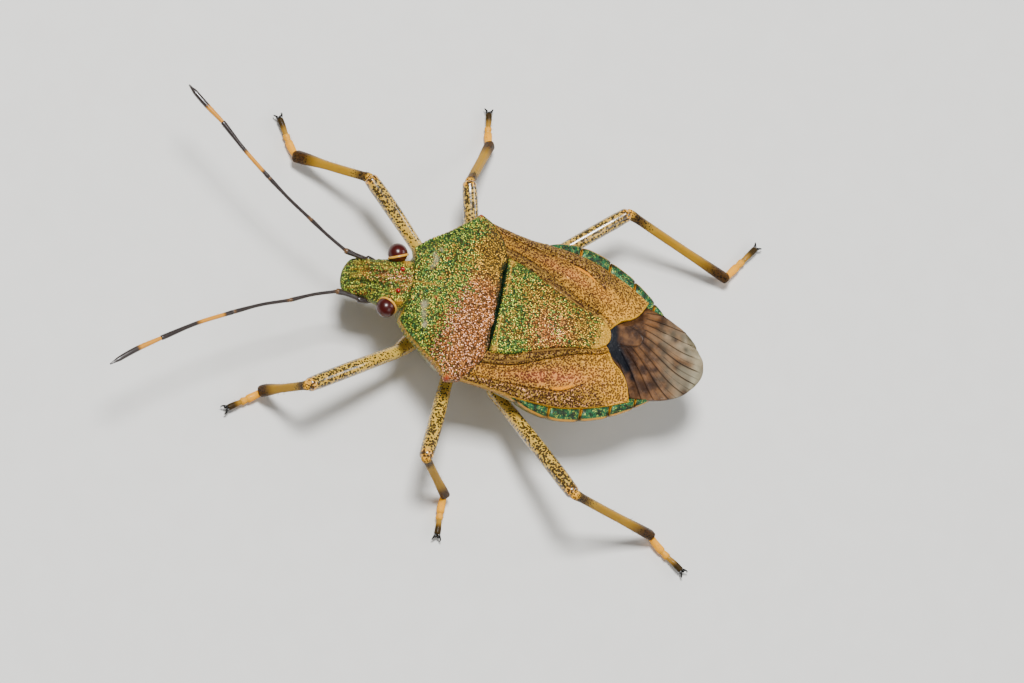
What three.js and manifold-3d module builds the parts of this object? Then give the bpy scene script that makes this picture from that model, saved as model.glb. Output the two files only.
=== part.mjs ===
// Shield bug, life size, standing. Millimetres, +Z up, head towards -Y.
import * as THREE from 'three';
import * as BufferGeometryUtils from 'three/addons/utils/BufferGeometryUtils.js';
import Module from 'manifold-3d';

// Driving sizes
const BODY_LENGTH = 15;
const GAP = 0.26;
const HEAD_LENGTH = 2.3;
const EYE_RADIUS = 0.43;
const EYE_X = 1.17;
const EYE_Y = 1.82;
const EYE_Z = 4.0;
const OCELLUS_RADIUS = 0.12;
const ANTENNA_ROOT_X = 1.1;
const PRONOTUM_THICKNESS = 1.15;
const WING_THICKNESS = 0.52;
const SCUTELLUM_THICKNESS = 0.7;
const THORAX_START = 2.75;
const THORAX_END = 6.95;
const ABDOMEN_START = THORAX_END + GAP;
const ABDOMEN_END = 13.75;
const BELLY_Z = 1.65;
const FEMUR_RADIUS = 0.34;
const TIBIA_RADIUS = 0.25;
const TARSUS_RADIUS = 0.25;
const ANTENNA_RADIUS = 0.25;
const CLAW_RADIUS = 0.13;
const FLOOR_CUT = 0.06;
const VEIN_HEIGHT = 0.07;

const { PI, sin, cos, abs, min, max, pow } = Math;
const clamp = (x, a, b) => min(b, max(a, x));
const mix = (a, b, t) => a + (b - a) * t;
const smooth = (a, b, x) => {
  const t = clamp((x - a) / (b - a), 0, 1);
  return t * t * (3 - 2 * t);
};

// Value along a station list of [position, value] pairs
function along(stations, x) {
  if (x <= stations[0][0]) return stations[0][1];
  for (let i = 1; i < stations.length; i += 1) {
    const [x1, v1] = stations[i];
    const [x0, v0] = stations[i - 1];
    if (x <= x1) return mix(v0, v1, (x - x0) / (x1 - x0));
  }
  return stations[stations.length - 1][1];
}

// Height of the back along the middle, height and half width of its side edge
const SPINE = [[0, 2.8], [1, 3.6], [1.8, 4.15], [2.65, 4.62], [4, 5.0], [5.2, 5.12], [6.1, 4.95],
  [9, 4.75], [10.8, 4.52], [12.6, 4.15], [14, 3.95], [15, 3.82]];
const RIM = [[2.3, 4.05], [3.5, 4.25], [4.66, 4.5], [5.6, 4.35], [7, 4.05], [9.5, 3.92], [12.3, 3.86],
  [15, 3.78]];
const BACK_HALF = [[2.3, 1.6], [3.5, 2.55], [4.66, 3.6], [5.6, 3.4], [7, 3.3], [9.5, 3.22], [10.65, 2.9],
  [12.3, 2.1], [13.3, 1.7], [15, 1.0]];
const ABDOMEN_HALF = [[6.9, 3.25], [7.7, 3.4], [8.5, 3.64], [9.4, 3.72], [10.5, 3.46], [11.8, 2.87],
  [12.7, 2.22], [13.25, 1.72], [13.55, 1.3], [13.75, 0.9]];
const SEGMENT_JOINTS = [7.85, 9.2, 10.5, 11.65, 12.6];

function backHeight(x, y) {
  const s = min(1, abs(x) / along(BACK_HALF, y));
  return mix(along(SPINE, y), along(RIM, y), pow(s, 2.1));
}

// Named colours for the slots
const paint = (color, roughness = 0.5) => new THREE.MeshStandardMaterial({ color, roughness });
const cuticleGreen = paint(0x3f6b3a, 0.35);
const cuticleBronze = paint(0x8a6a52, 0.4);
const wingLeather = paint(0x8a5d45, 0.5);
const wingMembrane = paint(0x5b4a3c, 0.4);
const rimGreen = paint(0x4f8a46, 0.35);
const eyeGloss = paint(0x3a1414, 0.15);
const legPale = paint(0xb8a24c, 0.45);
const antennaDark = paint(0x2a1c16, 0.4);
const antennaBand = paint(0xb8702a, 0.45);

const group = new THREE.Group();
const bug = new THREE.Group();

function add(name, geometry, material) {
  const mesh = new THREE.Mesh(geometry, material);
  mesh.name = name;
  bug.add(mesh);
  return mesh;
}

function fromArrays(positions, index) {
  const geometry = new THREE.BufferGeometry();
  geometry.setAttribute('position', new THREE.Float32BufferAttribute(positions, 3));
  geometry.setIndex(index);
  const joined = BufferGeometryUtils.mergeVertices(geometry, 1e-4);
  joined.computeVertexNormals();
  return joined;
}

// Closed loft through rings of equal point counts, with fans over both ends
function loft(rings) {
  const positions = [];
  const index = [];
  const n = rings[0].length;
  rings.forEach((ring) => ring.forEach((p) => positions.push(p[0], p[1], p[2])));
  for (let i = 0; i < rings.length - 1; i += 1) {
    for (let k = 0; k < n; k += 1) {
      const a = i * n + k;
      const b = i * n + ((k + 1) % n);
      index.push(a, b, b + n, a, b + n, a + n);
    }
  }
  [0, rings.length - 1].forEach((i) => {
    const mid = [0, 1, 2].map((c) => rings[i].reduce((sum, p) => sum + p[c], 0) / n);
    const m = positions.length / 3;
    positions.push(...mid);
    for (let k = 0; k < n; k += 1) {
      const a = i * n + k;
      const b = i * n + ((k + 1) % n);
      if (i === 0) index.push(m, b, a);
      else index.push(m, a, b);
    }
  });
  return outward(fromArrays(positions, index));
}

// Turns the faces outward when the enclosed volume comes out negative
function outward(geometry) {
  const p = geometry.attributes.position;
  const index = geometry.index.array;
  let volume = 0;
  const [a, b, c] = [new THREE.Vector3(), new THREE.Vector3(), new THREE.Vector3()];
  for (let i = 0; i < index.length; i += 3) {
    a.fromBufferAttribute(p, index[i]);
    b.fromBufferAttribute(p, index[i + 1]);
    c.fromBufferAttribute(p, index[i + 2]);
    volume += a.dot(b.cross(c));
  }
  if (volume < 0) {
    for (let i = 0; i < index.length; i += 3) {
      [index[i], index[i + 1]] = [index[i + 1], index[i]];
    }
    geometry.computeVertexNormals();
  }
  return geometry;
}

// Closed plate over a grid: plan gives x and y, top and bottom give heights
function plate(cols, rows, plan, top, bottom) {
  const positions = [];
  const index = [];
  const w = cols + 1;
  const count = w * (rows + 1);
  [top, bottom].forEach((height) => {
    for (let j = 0; j <= rows; j += 1) {
      for (let i = 0; i <= cols; i += 1) {
        const [u, v] = [i / cols, j / rows];
        const [x, y] = plan(u, v);
        positions.push(x, y, height(x, y, u, v));
      }
    }
  });
  for (let j = 0; j < rows; j += 1) {
    for (let i = 0; i < cols; i += 1) {
      const a = j * w + i;
      index.push(a, a + 1, a + 1 + w, a, a + 1 + w, a + w);
      const b = a + count;
      index.push(b, b + 1 + w, b + 1, b, b + w, b + 1 + w);
    }
  }
  const rim = [];
  for (let i = 0; i < cols; i += 1) rim.push(i);
  for (let j = 0; j < rows; j += 1) rim.push(j * w + cols);
  for (let i = cols; i > 0; i -= 1) rim.push(rows * w + i);
  for (let j = rows; j > 0; j -= 1) rim.push(j * w);
  rim.forEach((a, k) => {
    const b = rim[(k + 1) % rim.length];
    index.push(a, a + count, b + count, a, b + count, b);
  });
  return outward(fromArrays(positions, index));
}

// Smooth curve through plan points, read by its length
function planCurve(points) {
  const curve = new THREE.CatmullRomCurve3(points.map(([x, y]) => new THREE.Vector3(x, y, 0)), false, 'centripetal');
  return (t) => {
    const p = curve.getPointAt(clamp(t, 0, 1));
    return [p.x, p.y];
  };
}

// Patch between four plan curves: front and rear run along u, right and left along v
function patch(front, rear, right, left) {
  const [f, r, a, b] = [front, rear, right, left].map(planCurve);
  return (u, v) => [0, 1].map((c) => (
    (1 - v) * f(u)[c] + v * r(u)[c] + (1 - u) * a(v)[c] + u * b(v)[c]
    - (1 - u) * (1 - v) * f(0)[c] - u * (1 - v) * f(1)[c]
    - (1 - u) * v * r(0)[c] - u * v * r(1)[c]
  ));
}

// Rounds a plate's border: 1 inside, 0 at the very edge
const border = (u, v, du = 0.06, dv = 0.06) => min(
  smooth(0, du, u), smooth(0, du, 1 - u), smooth(0, dv, v), smooth(0, dv, 1 - v),
);

// Round limb along a curve, with a radius for each position; flat is the height share of its section
function limb(points, radius, sides = 8, steps = 6, flat = 1, tip = 0) {
  const curve = new THREE.CatmullRomCurve3(points.map((p) => new THREE.Vector3(...p)), false, 'centripetal');
  const rings = [];
  const up = new THREE.Vector3(0, 0, 1);
  for (let i = 0; i <= steps; i += 1) {
    const t = i / steps;
    const centre = curve.getPointAt(t);
    const along1 = curve.getTangentAt(t);
    const side = new THREE.Vector3().crossVectors(along1, up).normalize();
    const rise = new THREE.Vector3().crossVectors(side, along1).normalize();
    const r = radius(t);
    rings.push(Array.from({ length: sides }, (_, k) => {
      const a = (2 * PI * (k + 0.5)) / sides;
      return centre.clone().addScaledVector(side, r * cos(a)).addScaledVector(rise, r * flat * sin(a)).toArray();
    }));
  }
  if (tip > 0) {
    const last = rings[rings.length - 1];
    const dir = curve.getTangentAt(1);
    const centre = curve.getPointAt(1);
    rings.push(last.map((p) => new THREE.Vector3(...p).sub(centre).multiplyScalar(0.45).add(centre)
      .addScaledVector(dir, tip).toArray()));
  }
  return loft(rings);
}

const wasm = await Module();
wasm.setup();

function toManifold(geometry) {
  return new wasm.Manifold(new wasm.Mesh({
    numProp: 3,
    vertProperties: new Float32Array(geometry.attributes.position.array),
    triVerts: new Uint32Array(geometry.index.array),
  }));
}

function fromManifold(solid) {
  const mesh = solid.getMesh();
  return fromArrays(Array.from(mesh.vertProperties), Array.from(mesh.triVerts));
}

const join = (parts) => fromManifold(parts.map(toManifold).reduce((a, b) => a.add(b)));
const cut = (part, cutters) => fromManifold(cutters.map(toManifold).reduce((a, b) => a.subtract(b), toManifold(part)));

function ball(centre, radius, stretch = [1, 1, 1], wide = 16, high = 10) {
  const sphere = new THREE.SphereGeometry(radius, wide, high);
  sphere.deleteAttribute('normal');
  sphere.deleteAttribute('uv');
  sphere.scale(...stretch);
  sphere.translate(...centre);
  const joined = BufferGeometryUtils.mergeVertices(sphere, 1e-5);
  joined.computeVertexNormals();
  return joined;
}

function block(x0, x1, y0, y1, z0, z1) {
  const box = new THREE.BoxGeometry(x1 - x0, y1 - y0, z1 - z0);
  box.deleteAttribute('normal');
  box.deleteAttribute('uv');
  box.translate((x0 + x1) / 2, (y0 + y1) / 2, (z0 + z1) / 2);
  return BufferGeometryUtils.mergeVertices(box, 1e-5);
}

// Head: long front lobe with a raised middle ridge between two grooves, wider at the eyes
const HEAD_WIDTH = [[0, 0.42], [0.12, 0.62], [0.35, 0.76], [0.8, 0.8], [1.2, 0.82], [1.5, 0.98], [1.85, 1.08],
  [HEAD_LENGTH, 1.02]];
const HEAD_TOP = [[0, 2.86], [0.12, 2.98], [0.35, 3.14], [0.8, 3.46], [1.2, 3.75], [1.5, 3.98], [1.85, 4.2],
  [2.3, 4.4]];
const HEAD_BOTTOM = [[0, 2.5], [0.12, 2.42], [0.35, 2.4], [0.8, 2.45], [1.2, 2.5], [1.5, 2.52], [1.85, 2.55],
  [2.3, 2.6]];
function headRing(y) {
  const [w, t, b] = [along(HEAD_WIDTH, y), along(HEAD_TOP, y), along(HEAD_BOTTOM, y)];
  const edge = mix(b, t, 0.62);
  const ring = [];
  for (let k = 0; k <= 14; k += 1) {
    const s = -1 + (2 * k) / 14;
    const across = sin((s * PI) / 2);
    const groove = 0.05 * Math.exp(-pow((abs(across) * w - 0.26) / 0.1, 2)) * smooth(0, 0.3, y);
    ring.push([w * across, y, edge + (t - edge) * pow(max(0, 1 - across * across), 0.42) - groove]);
  }
  for (let k = 1; k < 8; k += 1) {
    const a = (PI * k) / 8;
    ring.push([w * cos(a), y, edge - (edge - b) * pow(sin(a), 0.8)]);
  }
  return ring;
}
const headLoft = loft([0, 0.12, 0.35, 0.6, 0.9, 1.2, 1.45, 1.7, 1.95, HEAD_LENGTH].map(headRing));
const eyeSockets = [1, -1].map((s) => ball([s * (EYE_X + 0.04), EYE_Y, EYE_Z], EYE_RADIUS + GAP + 0.02, [1, 1, 1], 16, 10));
const antennaSockets = [1, -1].map((s) => limb(
  [[s * ANTENNA_ROOT_X, -0.6, 3.35], [s * ANTENNA_ROOT_X, 0.3, 3.14], [s * ANTENNA_ROOT_X, 1.36, 2.84]],
  () => ANTENNA_RADIUS + 0.2, 10, 4,
));
const ocelli = [1, -1].map((s) => ball([s * 0.36, 2.06, 4.3], OCELLUS_RADIUS, [1, 1, 1], 10, 6));
add('head', cut(join([headLoft, ...ocelli]), [...eyeSockets, ...antennaSockets]), cuticleGreen);
[1, -1].forEach((s) => add(
  s > 0 ? 'eye_left' : 'eye_right',
  ball([s * EYE_X, EYE_Y, EYE_Z], EYE_RADIUS, [1, 0.98, 0.96], 18, 11),
  eyeGloss,
));

// Beak, folded back below the head towards the fore coxae
const BEAK_PATH = [[0, 0.3, 1.9], [0, 1.3, 1.84], [0, 2.5, 1.62], [0, 3.5, 1.4]];
add('rostrum', limb(BEAK_PATH, (t) => mix(0.28, 0.24, t), 8, 6, 1, 0.25), antennaDark);

// Pronotum: wide shield with straight front sides and pointed shoulders
const SHOULDER_X = 3.6;
const SHOULDER_Y = 4.72;
const SIDE_FRONT = [[1.54, 2.5], [2.04, 2.92], [2.49, 3.5], [3.06, 4.2], [SHOULDER_X, SHOULDER_Y]];
const REAR_SIDE = [[3.38, 5.3], [2.75, 5.8], [2.1, 6.04]];
const mirror = (points) => points.map(([x, y]) => [-x, y]);
const pronotumPlan = patch(
  [[-1.54, 2.5], [-1.0, 2.6], [0, 2.66], [1.0, 2.6], [1.54, 2.5]],
  [[-SHOULDER_X, SHOULDER_Y], ...mirror(REAR_SIDE), [-1.1, 5.96], [0, 5.94], [1.1, 5.96],
    ...REAR_SIDE.slice().reverse(), [SHOULDER_X, SHOULDER_Y]],
  mirror(SIDE_FRONT),
  SIDE_FRONT,
);
const pronotumTop = (x, y, u, v) => backHeight(x, y)
  - 0.1 * Math.exp(-pow((y - 3.9) / 0.35, 2)) * smooth(0.3, 0.9, abs(x))
  - 0.16 * (1 - border(u, v, 0.09, 0.09));
const pronotumBottom = (x, y, u, v) => min(
  backHeight(x, y) - 0.5 - 0.1 * (1 - border(u, v, 0.12, 0.1)),
  backHeight(x, y) - mix(0.55, PRONOTUM_THICKNESS, border(u, v, 0.3, 0.3)),
);
add('pronotum', plate(22, 12, pronotumPlan, pronotumTop, pronotumBottom), cuticleBronze);

// Scutellum: long triangle between the coria, its front edge behind the pronotum
const SCUTELLUM_FRONT_Y = 5.96 + GAP;
const SCUTELLUM_SIDE = [[1.93, SCUTELLUM_FRONT_Y + 0.09], [1.72, 7.05], [1.28, 8.05], [0.86, 9.15], [0.7, 9.9],
  [0.56, 10.45], [0.3, 10.78]];
const scutellumPlan = patch(
  [[-1.93, SCUTELLUM_FRONT_Y + 0.09], [0, SCUTELLUM_FRONT_Y], [1.93, SCUTELLUM_FRONT_Y + 0.09]],
  [[-0.3, 10.78], [0, 10.86], [0.3, 10.78]],
  mirror(SCUTELLUM_SIDE),
  SCUTELLUM_SIDE,
);
const scutellumTop = (x, y, u, v) => backHeight(x, y) + 0.04 * (1 - pow(2 * u - 1, 2)) - 0.12 * (1 - border(u, v, 0.12, 0.06));
const scutellumBottom = (x, y) => backHeight(x, y) - SCUTELLUM_THICKNESS;
add('scutellum', plate(12, 14, scutellumPlan, scutellumTop, scutellumBottom), cuticleGreen);

// Coria: leathery fore wing parts beside the scutellum, with the clavus ridge on the inner side
const corium = (s) => {
  const inner = [[2.22, 6.3], [1.98, 7.1], [1.54, 8.1], [1.12, 9.2], [0.96, 9.95], [0.84, 10.5], [0.62, 10.95]];
  const outer = [[3.36, 5.72], [3.28, 6.8], [3.29, 8.17], [3.2, 9.5], [2.88, 10.65], [2.49, 11.6], [2.1, 12.3]];
  const apical = [[0.62, 10.95], [0.95, 11.36], [1.2, 11.75], [1.6, 12.08], [2.1, 12.3]];
  const front = [[2.22, 6.3], [2.86, 6.06], [3.36, 5.72]];
  const side = (points) => points.map(([x, y]) => [s * x, y]);
  const plan = patch(side(front), side(apical), side(inner), side(outer));
  const vein = (u, c, w) => Math.exp(-pow((u - c) / w, 2));
  const top = (x, y, u, v) => backHeight(x, y) - 0.05
    + VEIN_HEIGHT * vein(u, 0.28, 0.06) * smooth(0, 0.1, v)
    + VEIN_HEIGHT * vein(u, 0.66, 0.07)
    - 0.1 * (1 - border(u, v, 0.1, 0.05));
  const bottom = (x, y) => backHeight(x, y) - 0.05 - WING_THICKNESS;
  return plate(12, 14, plan, top, bottom);
};
add('corium_left', corium(1), wingLeather);
add('corium_right', corium(-1), wingLeather);

// Membranes: the left one lies on top, the right one shows as a strip beside it
const veinLines = (u, count) => pow(abs(sin(PI * u * count)), 12);
const membraneTop = (count) => (x, y, u, v) => backHeight(x, y) - 0.12
  + VEIN_HEIGHT * veinLines(u, count) * smooth(0.12, 0.25, v) * (1 - smooth(0.8, 0.95, v))
  + VEIN_HEIGHT * Math.exp(-pow((v - 0.16) / 0.05, 2))
  - 0.08 * (1 - border(u, v, 0.08, 0.05));
const membraneBottom = (x, y) => backHeight(x, y) - 0.12 - WING_THICKNESS;
const leftPlan = patch(
  [[-0.42, 11.14], [-0.1, 11.16], [0.32, 11.14], [0.72, 11.5], [1.02, 11.98], [1.46, 12.34], [1.84, 12.5]],
  [[-0.72, 14.68], [-0.4, BODY_LENGTH - 0.06], [0, BODY_LENGTH], [0.3, BODY_LENGTH - 0.05], [0.6, 14.8]],
  [[-0.42, 11.14], [-0.78, 12.2], [-0.95, 13.4], [-0.72, 14.68]],
  [[1.84, 12.5], [1.72, 13.15], [1.4, 13.85], [1.05, 14.4], [0.6, 14.8]],
);
add('membrane_left', plate(24, 10, leftPlan, membraneTop(6), membraneBottom), wingMembrane);
const rightPlan = patch(
  [[-1.84, 12.5], [-1.46, 12.34], [-1.22, 12.16], [-1.04, 11.9]],
  [[-1.06, 14.36], [-1.02, 14.39], [-0.98, 14.42]],
  [[-1.84, 12.5], [-1.72, 13.15], [-1.4, 13.85], [-1.06, 14.36]],
  [[-1.04, 11.9], [-1.1, 12.4], [-1.22, 13.4], [-0.98, 14.42]],
);
add('membrane_right', plate(10, 10, rightPlan, membraneTop(2), membraneBottom), wingMembrane);

// Thorax: the underside between the leg roots, hollowed nowhere, below the pronotum and the wings
const THORAX_WIDTH = [[2.75, 1.3], [3.5, 2.1], [4.5, 2.85], [5.5, 2.95], [6.95, 3.0]];
function thoraxRing(y) {
  const w = along(THORAX_WIDTH, y);
  const belly = along([[2.75, 2.3], [3.6, 1.9], [5, 1.72], [6.95, 1.68]], y);
  const roof = (x) => backHeight(x, y) - along([[5.4, PRONOTUM_THICKNESS], [5.9, 1.2], [6.2, 1.0]], y) - GAP;
  const ring = [];
  for (let k = 0; k <= 8; k += 1) {
    const x = w * (-1 + (2 * k) / 8) * 0.96;
    ring.push([x, y, min(roof(x), roof(0)) - 0.02]);
  }
  for (let k = 1; k < 10; k += 1) {
    const a = (PI * k) / 10;
    ring.push([w * cos(a), y, 3.1 - (3.1 - belly) * pow(sin(a), 0.85)]);
  }
  return ring;
}
add('thorax', loft([THORAX_START, 3.2, 3.7, 4.3, 5.0, 5.7, 6.3, THORAX_END].map(thoraxRing)), cuticleGreen);

// Abdomen: deep belly, with a raised green rim of plates beside the wings
function abdomenRing(y) {
  const joint = SEGMENT_JOINTS.reduce((least, j) => min(least, abs(y - j)), 9);
  const w = along(ABDOMEN_HALF, y) - 0.07 * (1 - smooth(0, 0.12, joint));
  const wing = along(BACK_HALF, y);
  const narrow = 1 - smooth(0.36, 0.43, along(ABDOMEN_HALF, y) - wing);
  const end = max(smooth(11.9, 13.2, y), narrow);
  const inner = min(wing + GAP, w - 0.12);
  const tray = (x) => backHeight(x, y) - along([[7, 0.05 + WING_THICKNESS], [11, 0.06 + WING_THICKNESS],
    [11.6, 0.13 + WING_THICKNESS]], y) - GAP;
  const middle = y < 11.1 ? backHeight(0, y) - SCUTELLUM_THICKNESS - GAP : tray(0);
  const rimTop = mix(along(RIM, y) - 0.12, tray(inner), end);
  const belly = along([[7, BELLY_Z], [9.5, BELLY_Z], [11.5, 1.95], [13, 2.5], [13.75, 2.85]], y);
  const half = [[0, middle], [0.5 * inner, min(middle, backHeight(0.5 * inner, y) - SCUTELLUM_THICKNESS - GAP)], [inner - 0.1, tray(inner) - 0.02],
    [inner, rimTop], [w - 0.05, rimTop - 0.03], [w, rimTop - 0.12]];
  const ring = [];
  for (let k = half.length - 1; k > 0; k -= 1) ring.push([-half[k][0], y, half[k][1]]);
  half.forEach(([x, z]) => ring.push([x, y, z]));
  const side = rimTop - 0.3;
  for (let k = 1; k < 12; k += 1) {
    const a = (PI * k) / 12;
    ring.push([(w - 0.03) * cos(a), y, side - (side - belly) * pow(sin(a), 0.92)]);
  }
  return ring;
}
const abdomenStations = [ABDOMEN_START, 7.7];
SEGMENT_JOINTS.forEach((j, k) => {
  const next = SEGMENT_JOINTS[k + 1] ?? 13.3;
  abdomenStations.push(j, j + 0.14, (j + next) / 2, next - 0.14);
});
abdomenStations.push(13.3, 13.55, ABDOMEN_END);
add('abdomen', loft([...new Set(abdomenStations)].map(abdomenRing)), rimGreen);

// Legs: coxa, femur, tibia and a three-part tarsus with two claws, each from hip, knee, ankle and tip
const LEGS = {
  fore_left: { hip: [1.25, 3.55, 1.75], out: [2.45, 2.9, 1.95], knee: [4.98, -0.42, 3.4], ankle: [4.7, -1.65, 0.55], tip: [5.89, -3.08] },
  fore_right: { hip: [-1.25, 3.55, 1.75], out: [-2.3, 3.0, 1.9], knee: [-4.42, 0.33, 2.7], ankle: [-5.31, -2.4, 0.55], tip: [-7.05, -3.55] },
  mid_left: { hip: [1.3, 5.3, 1.6], out: [2.5, 5.25, 1.9], knee: [6.6, 4.78, 3.5], ankle: [6.86, 6.42, 0.55], tip: [8.78, 6.55] },
  mid_right: { hip: [-1.3, 5.3, 1.6], out: [-2.5, 5.25, 1.85], knee: [-5.42, 4.33, 2.7], ankle: [-8.08, 5.25, 0.55], tip: [-9.84, 4.95] },
  hind_left: { hip: [1.35, 6.75, 1.5], out: [2.55, 7.25, 1.42], knee: [6.62, 10.82, 4.1], ankle: [6.19, 15.03, 0.55], tip: [7.35, 16.9] },
  hind_right: { hip: [-1.35, 6.75, 1.5], out: [-2.5, 7.3, 1.42], knee: [-5.95, 10.96, 2.95], ankle: [-5.36, 16.01, 0.55], tip: [-7.35, 17.25] },
};
const vec = (p) => new THREE.Vector3(...p);
// Point at a share or a distance along the line between two points
const toward = (a, b, d) => vec(b).sub(vec(a)).normalize().multiplyScalar(d).add(vec(a)).toArray();
function tarsusSolid(ankle, tip) {
  const end = [tip[0], tip[1], 0.2];
  const start = toward(ankle, end, TIBIA_RADIUS + GAP * 0.85);
  const low = TARSUS_RADIUS - FLOOR_CUT;
  const path = [start, [mix(start[0], end[0], 0.3), mix(start[1], end[1], 0.3), low + 0.02],
    [mix(start[0], end[0], 0.62), mix(start[1], end[1], 0.62), low], [mix(start[0], end[0], 0.9), mix(start[1], end[1], 0.9), low]];
  const swell = (t) => TARSUS_RADIUS * (0.86 + 0.16 * pow(abs(sin(PI * (0.1 + 2.8 * t))), 0.8));
  const foot = limb(path, swell, 8, 8, 0.95, 0.08);
  const last = path[3];
  const dir = vec(end).sub(vec(last)).setZ(0).normalize();
  const side = new THREE.Vector3(-dir.y, dir.x, 0);
  const claws = [1, -1].map((s) => limb([
    [last[0] - dir.x * 0.1, last[1] - dir.y * 0.1, last[2] + 0.06],
    [last[0] + dir.x * 0.2 + side.x * s * 0.22, last[1] + dir.y * 0.2 + side.y * s * 0.22, last[2] + 0.04],
    [last[0] + dir.x * 0.42 + side.x * s * 0.2, last[1] + dir.y * 0.42 + side.y * s * 0.2, last[2] - 0.12],
  ], (t) => mix(CLAW_RADIUS, 0.06, t), 6, 3));
  return cut(join([foot, ...claws]), [block(-20, 20, -20, 30, -3, 0)]);
}
Object.entries(LEGS).forEach(([name, leg]) => {
  const root = [leg.hip[0] * 0.75, leg.hip[1], leg.hip[2] - 0.4];
  const fore = name.startsWith('fore');
  add(`${name}_coxa`, limb([root, mix3(root, leg.out, 0.5), leg.out].map((p) => [p[0], p[1], p[2] - 0.2]),
    (t) => 0.42 - 0.08 * t, 8, 4), legPale);
  const femurStart = toward(leg.out, leg.knee, GAP + 0.06);
  const bend = vec(leg.out).sub(vec(leg.knee)).normalize().dot(vec(leg.ankle).sub(vec(leg.knee)).normalize());
  const femurEnd = toward(leg.knee, leg.out, TIBIA_RADIUS + GAP * 1.2 + 0.3 * bend);
  add(`${name}_femur`, limb([femurStart, mix3(femurStart, femurEnd, 0.5, fore ? 0.06 : 0), femurEnd],
    (t) => FEMUR_RADIUS * (0.78 + 0.3 * sin(PI * clamp(t * 0.95, 0, 1)) ** 0.8), 10, 8, 1, 0.06), legPale);
  const tibiaStart = toward(leg.knee, leg.ankle, GAP * 0.8);
  const widen = fore ? 0.07 : 0.02;
  add(`${name}_tibia`, limb([tibiaStart, mix3(tibiaStart, leg.ankle, 0.5), leg.ankle],
    (t) => TIBIA_RADIUS * (1 + 0.18 * smooth(0.25, 0, t)) + widen * smooth(0.6, 1, t), 8, 7), legPale);
  add(`${name}_tarsus`, tarsusSolid(leg.ankle, leg.tip), legPale);
});
function mix3(a, b, t, lift = 0) {
  return [mix(a[0], b[0], t), mix(a[1], b[1], t), mix(a[2], b[2], t) + lift];
}

// Antennae: five lengths each, the last two with a pale band at the base
const ANTENNAE = {
  left: [[ANTENNA_ROOT_X, 1.1, 2.92], [ANTENNA_ROOT_X, -0.15, 3.25], [1.87, -1.94, 3.7], [3.13, -4.1, 4.1], [5.11, -6.71, 4.45], [6.74, -8.45, 4.5]],
  right: [[-ANTENNA_ROOT_X, 1.1, 2.92], [-ANTENNA_ROOT_X, -0.15, 3.25], [-1.66, -1.84, 3.7], [-2.72, -3.9, 4.1], [-4.31, -6.25, 4.45], [-5.42, -7.91, 4.5]],
};
Object.entries(ANTENNAE).forEach(([side, points]) => {
  for (let k = 0; k < 5; k += 1) {
    const length = vec(points[k + 1]).distanceTo(vec(points[k]));
    const a = k === 0 ? points[0] : toward(points[k], points[k + 1], GAP * 0.55);
    const b = k === 4 ? points[5] : toward(points[k + 1], points[k], GAP * 0.55);
    const radius = (t) => ANTENNA_RADIUS * (k === 4 ? mix(1, 0.5, smooth(0.55, 1, t)) : 1) * (1 + 0.06 * sin(PI * t));
    add(`antenna_${side}_${k + 1}`, limb([a, mix3(a, b, 0.5, 0.02 * length), b], radius, 8, 4, 1, k === 4 ? 0.12 : 0),
      k < 3 ? antennaDark : antennaBand);
  }
});

// The model stands on z = 0 with its bounding box centred on x and y
const box = new THREE.Box3().setFromObject(bug);
const middle = box.getCenter(new THREE.Vector3());
bug.position.set(-middle.x, -middle.y, -box.min.z);
group.add(bug);
group.updateMatrixWorld(true);

export default group;
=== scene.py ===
import math

import bpy
import mathutils
import numpy as np
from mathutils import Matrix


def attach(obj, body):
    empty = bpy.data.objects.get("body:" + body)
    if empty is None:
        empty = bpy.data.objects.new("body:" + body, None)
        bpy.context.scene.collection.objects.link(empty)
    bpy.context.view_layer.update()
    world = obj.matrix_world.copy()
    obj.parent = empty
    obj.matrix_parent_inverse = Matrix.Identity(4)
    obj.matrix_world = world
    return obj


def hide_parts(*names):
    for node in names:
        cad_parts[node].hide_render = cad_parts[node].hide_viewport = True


bl_info = {
    "name": "Shield Bug Model",
    "version": (1, 0, 0),
    "blender": (4, 5, 0),
    "location": "3D View > Sidebar > Shield Bug",
    "description": "Builds the skin, wings, limbs and finishes of a standing shield bug",
    "category": "Add Mesh",
}

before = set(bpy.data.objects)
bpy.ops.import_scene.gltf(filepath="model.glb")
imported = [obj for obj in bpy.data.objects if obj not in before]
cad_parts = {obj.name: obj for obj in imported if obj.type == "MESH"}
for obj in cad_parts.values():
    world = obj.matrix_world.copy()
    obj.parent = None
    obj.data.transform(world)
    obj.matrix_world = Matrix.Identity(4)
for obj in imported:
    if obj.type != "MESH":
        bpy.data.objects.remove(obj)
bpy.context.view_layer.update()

# Heights and widths along the body, in millimetres from the tip of the head
SPINE = [[0, 2.8], [1, 3.6], [1.8, 4.15], [2.65, 4.62], [4, 5.0], [5.2, 5.12], [6.1, 4.98],
         [9, 4.76], [10.8, 4.54], [12.6, 4.15], [14, 3.95], [15, 3.82]]
RIM = [[2.3, 4.05], [3.5, 4.25], [4.66, 4.5], [5.6, 4.35], [7, 4.05], [9.5, 3.92], [12.3, 3.86],
       [15, 3.78]]
BACK_HALF = [[2.3, 1.6], [3.5, 2.55], [4.66, 3.6], [5.6, 3.4], [7, 3.3], [9.5, 3.22],
             [10.65, 2.9], [12.3, 2.1], [13.3, 1.7], [15, 1.0]]
ABDOMEN_HALF = [[6.9, 3.25], [7.7, 3.4], [8.5, 3.64], [9.4, 3.72], [10.5, 3.46], [11.8, 2.87],
                [12.7, 2.22], [13.25, 1.72], [13.55, 1.3], [13.75, 0.9]]
SEGMENT_JOINTS = [6.9, 7.85, 9.2, 10.5, 11.65, 12.6, 13.42]
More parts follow.
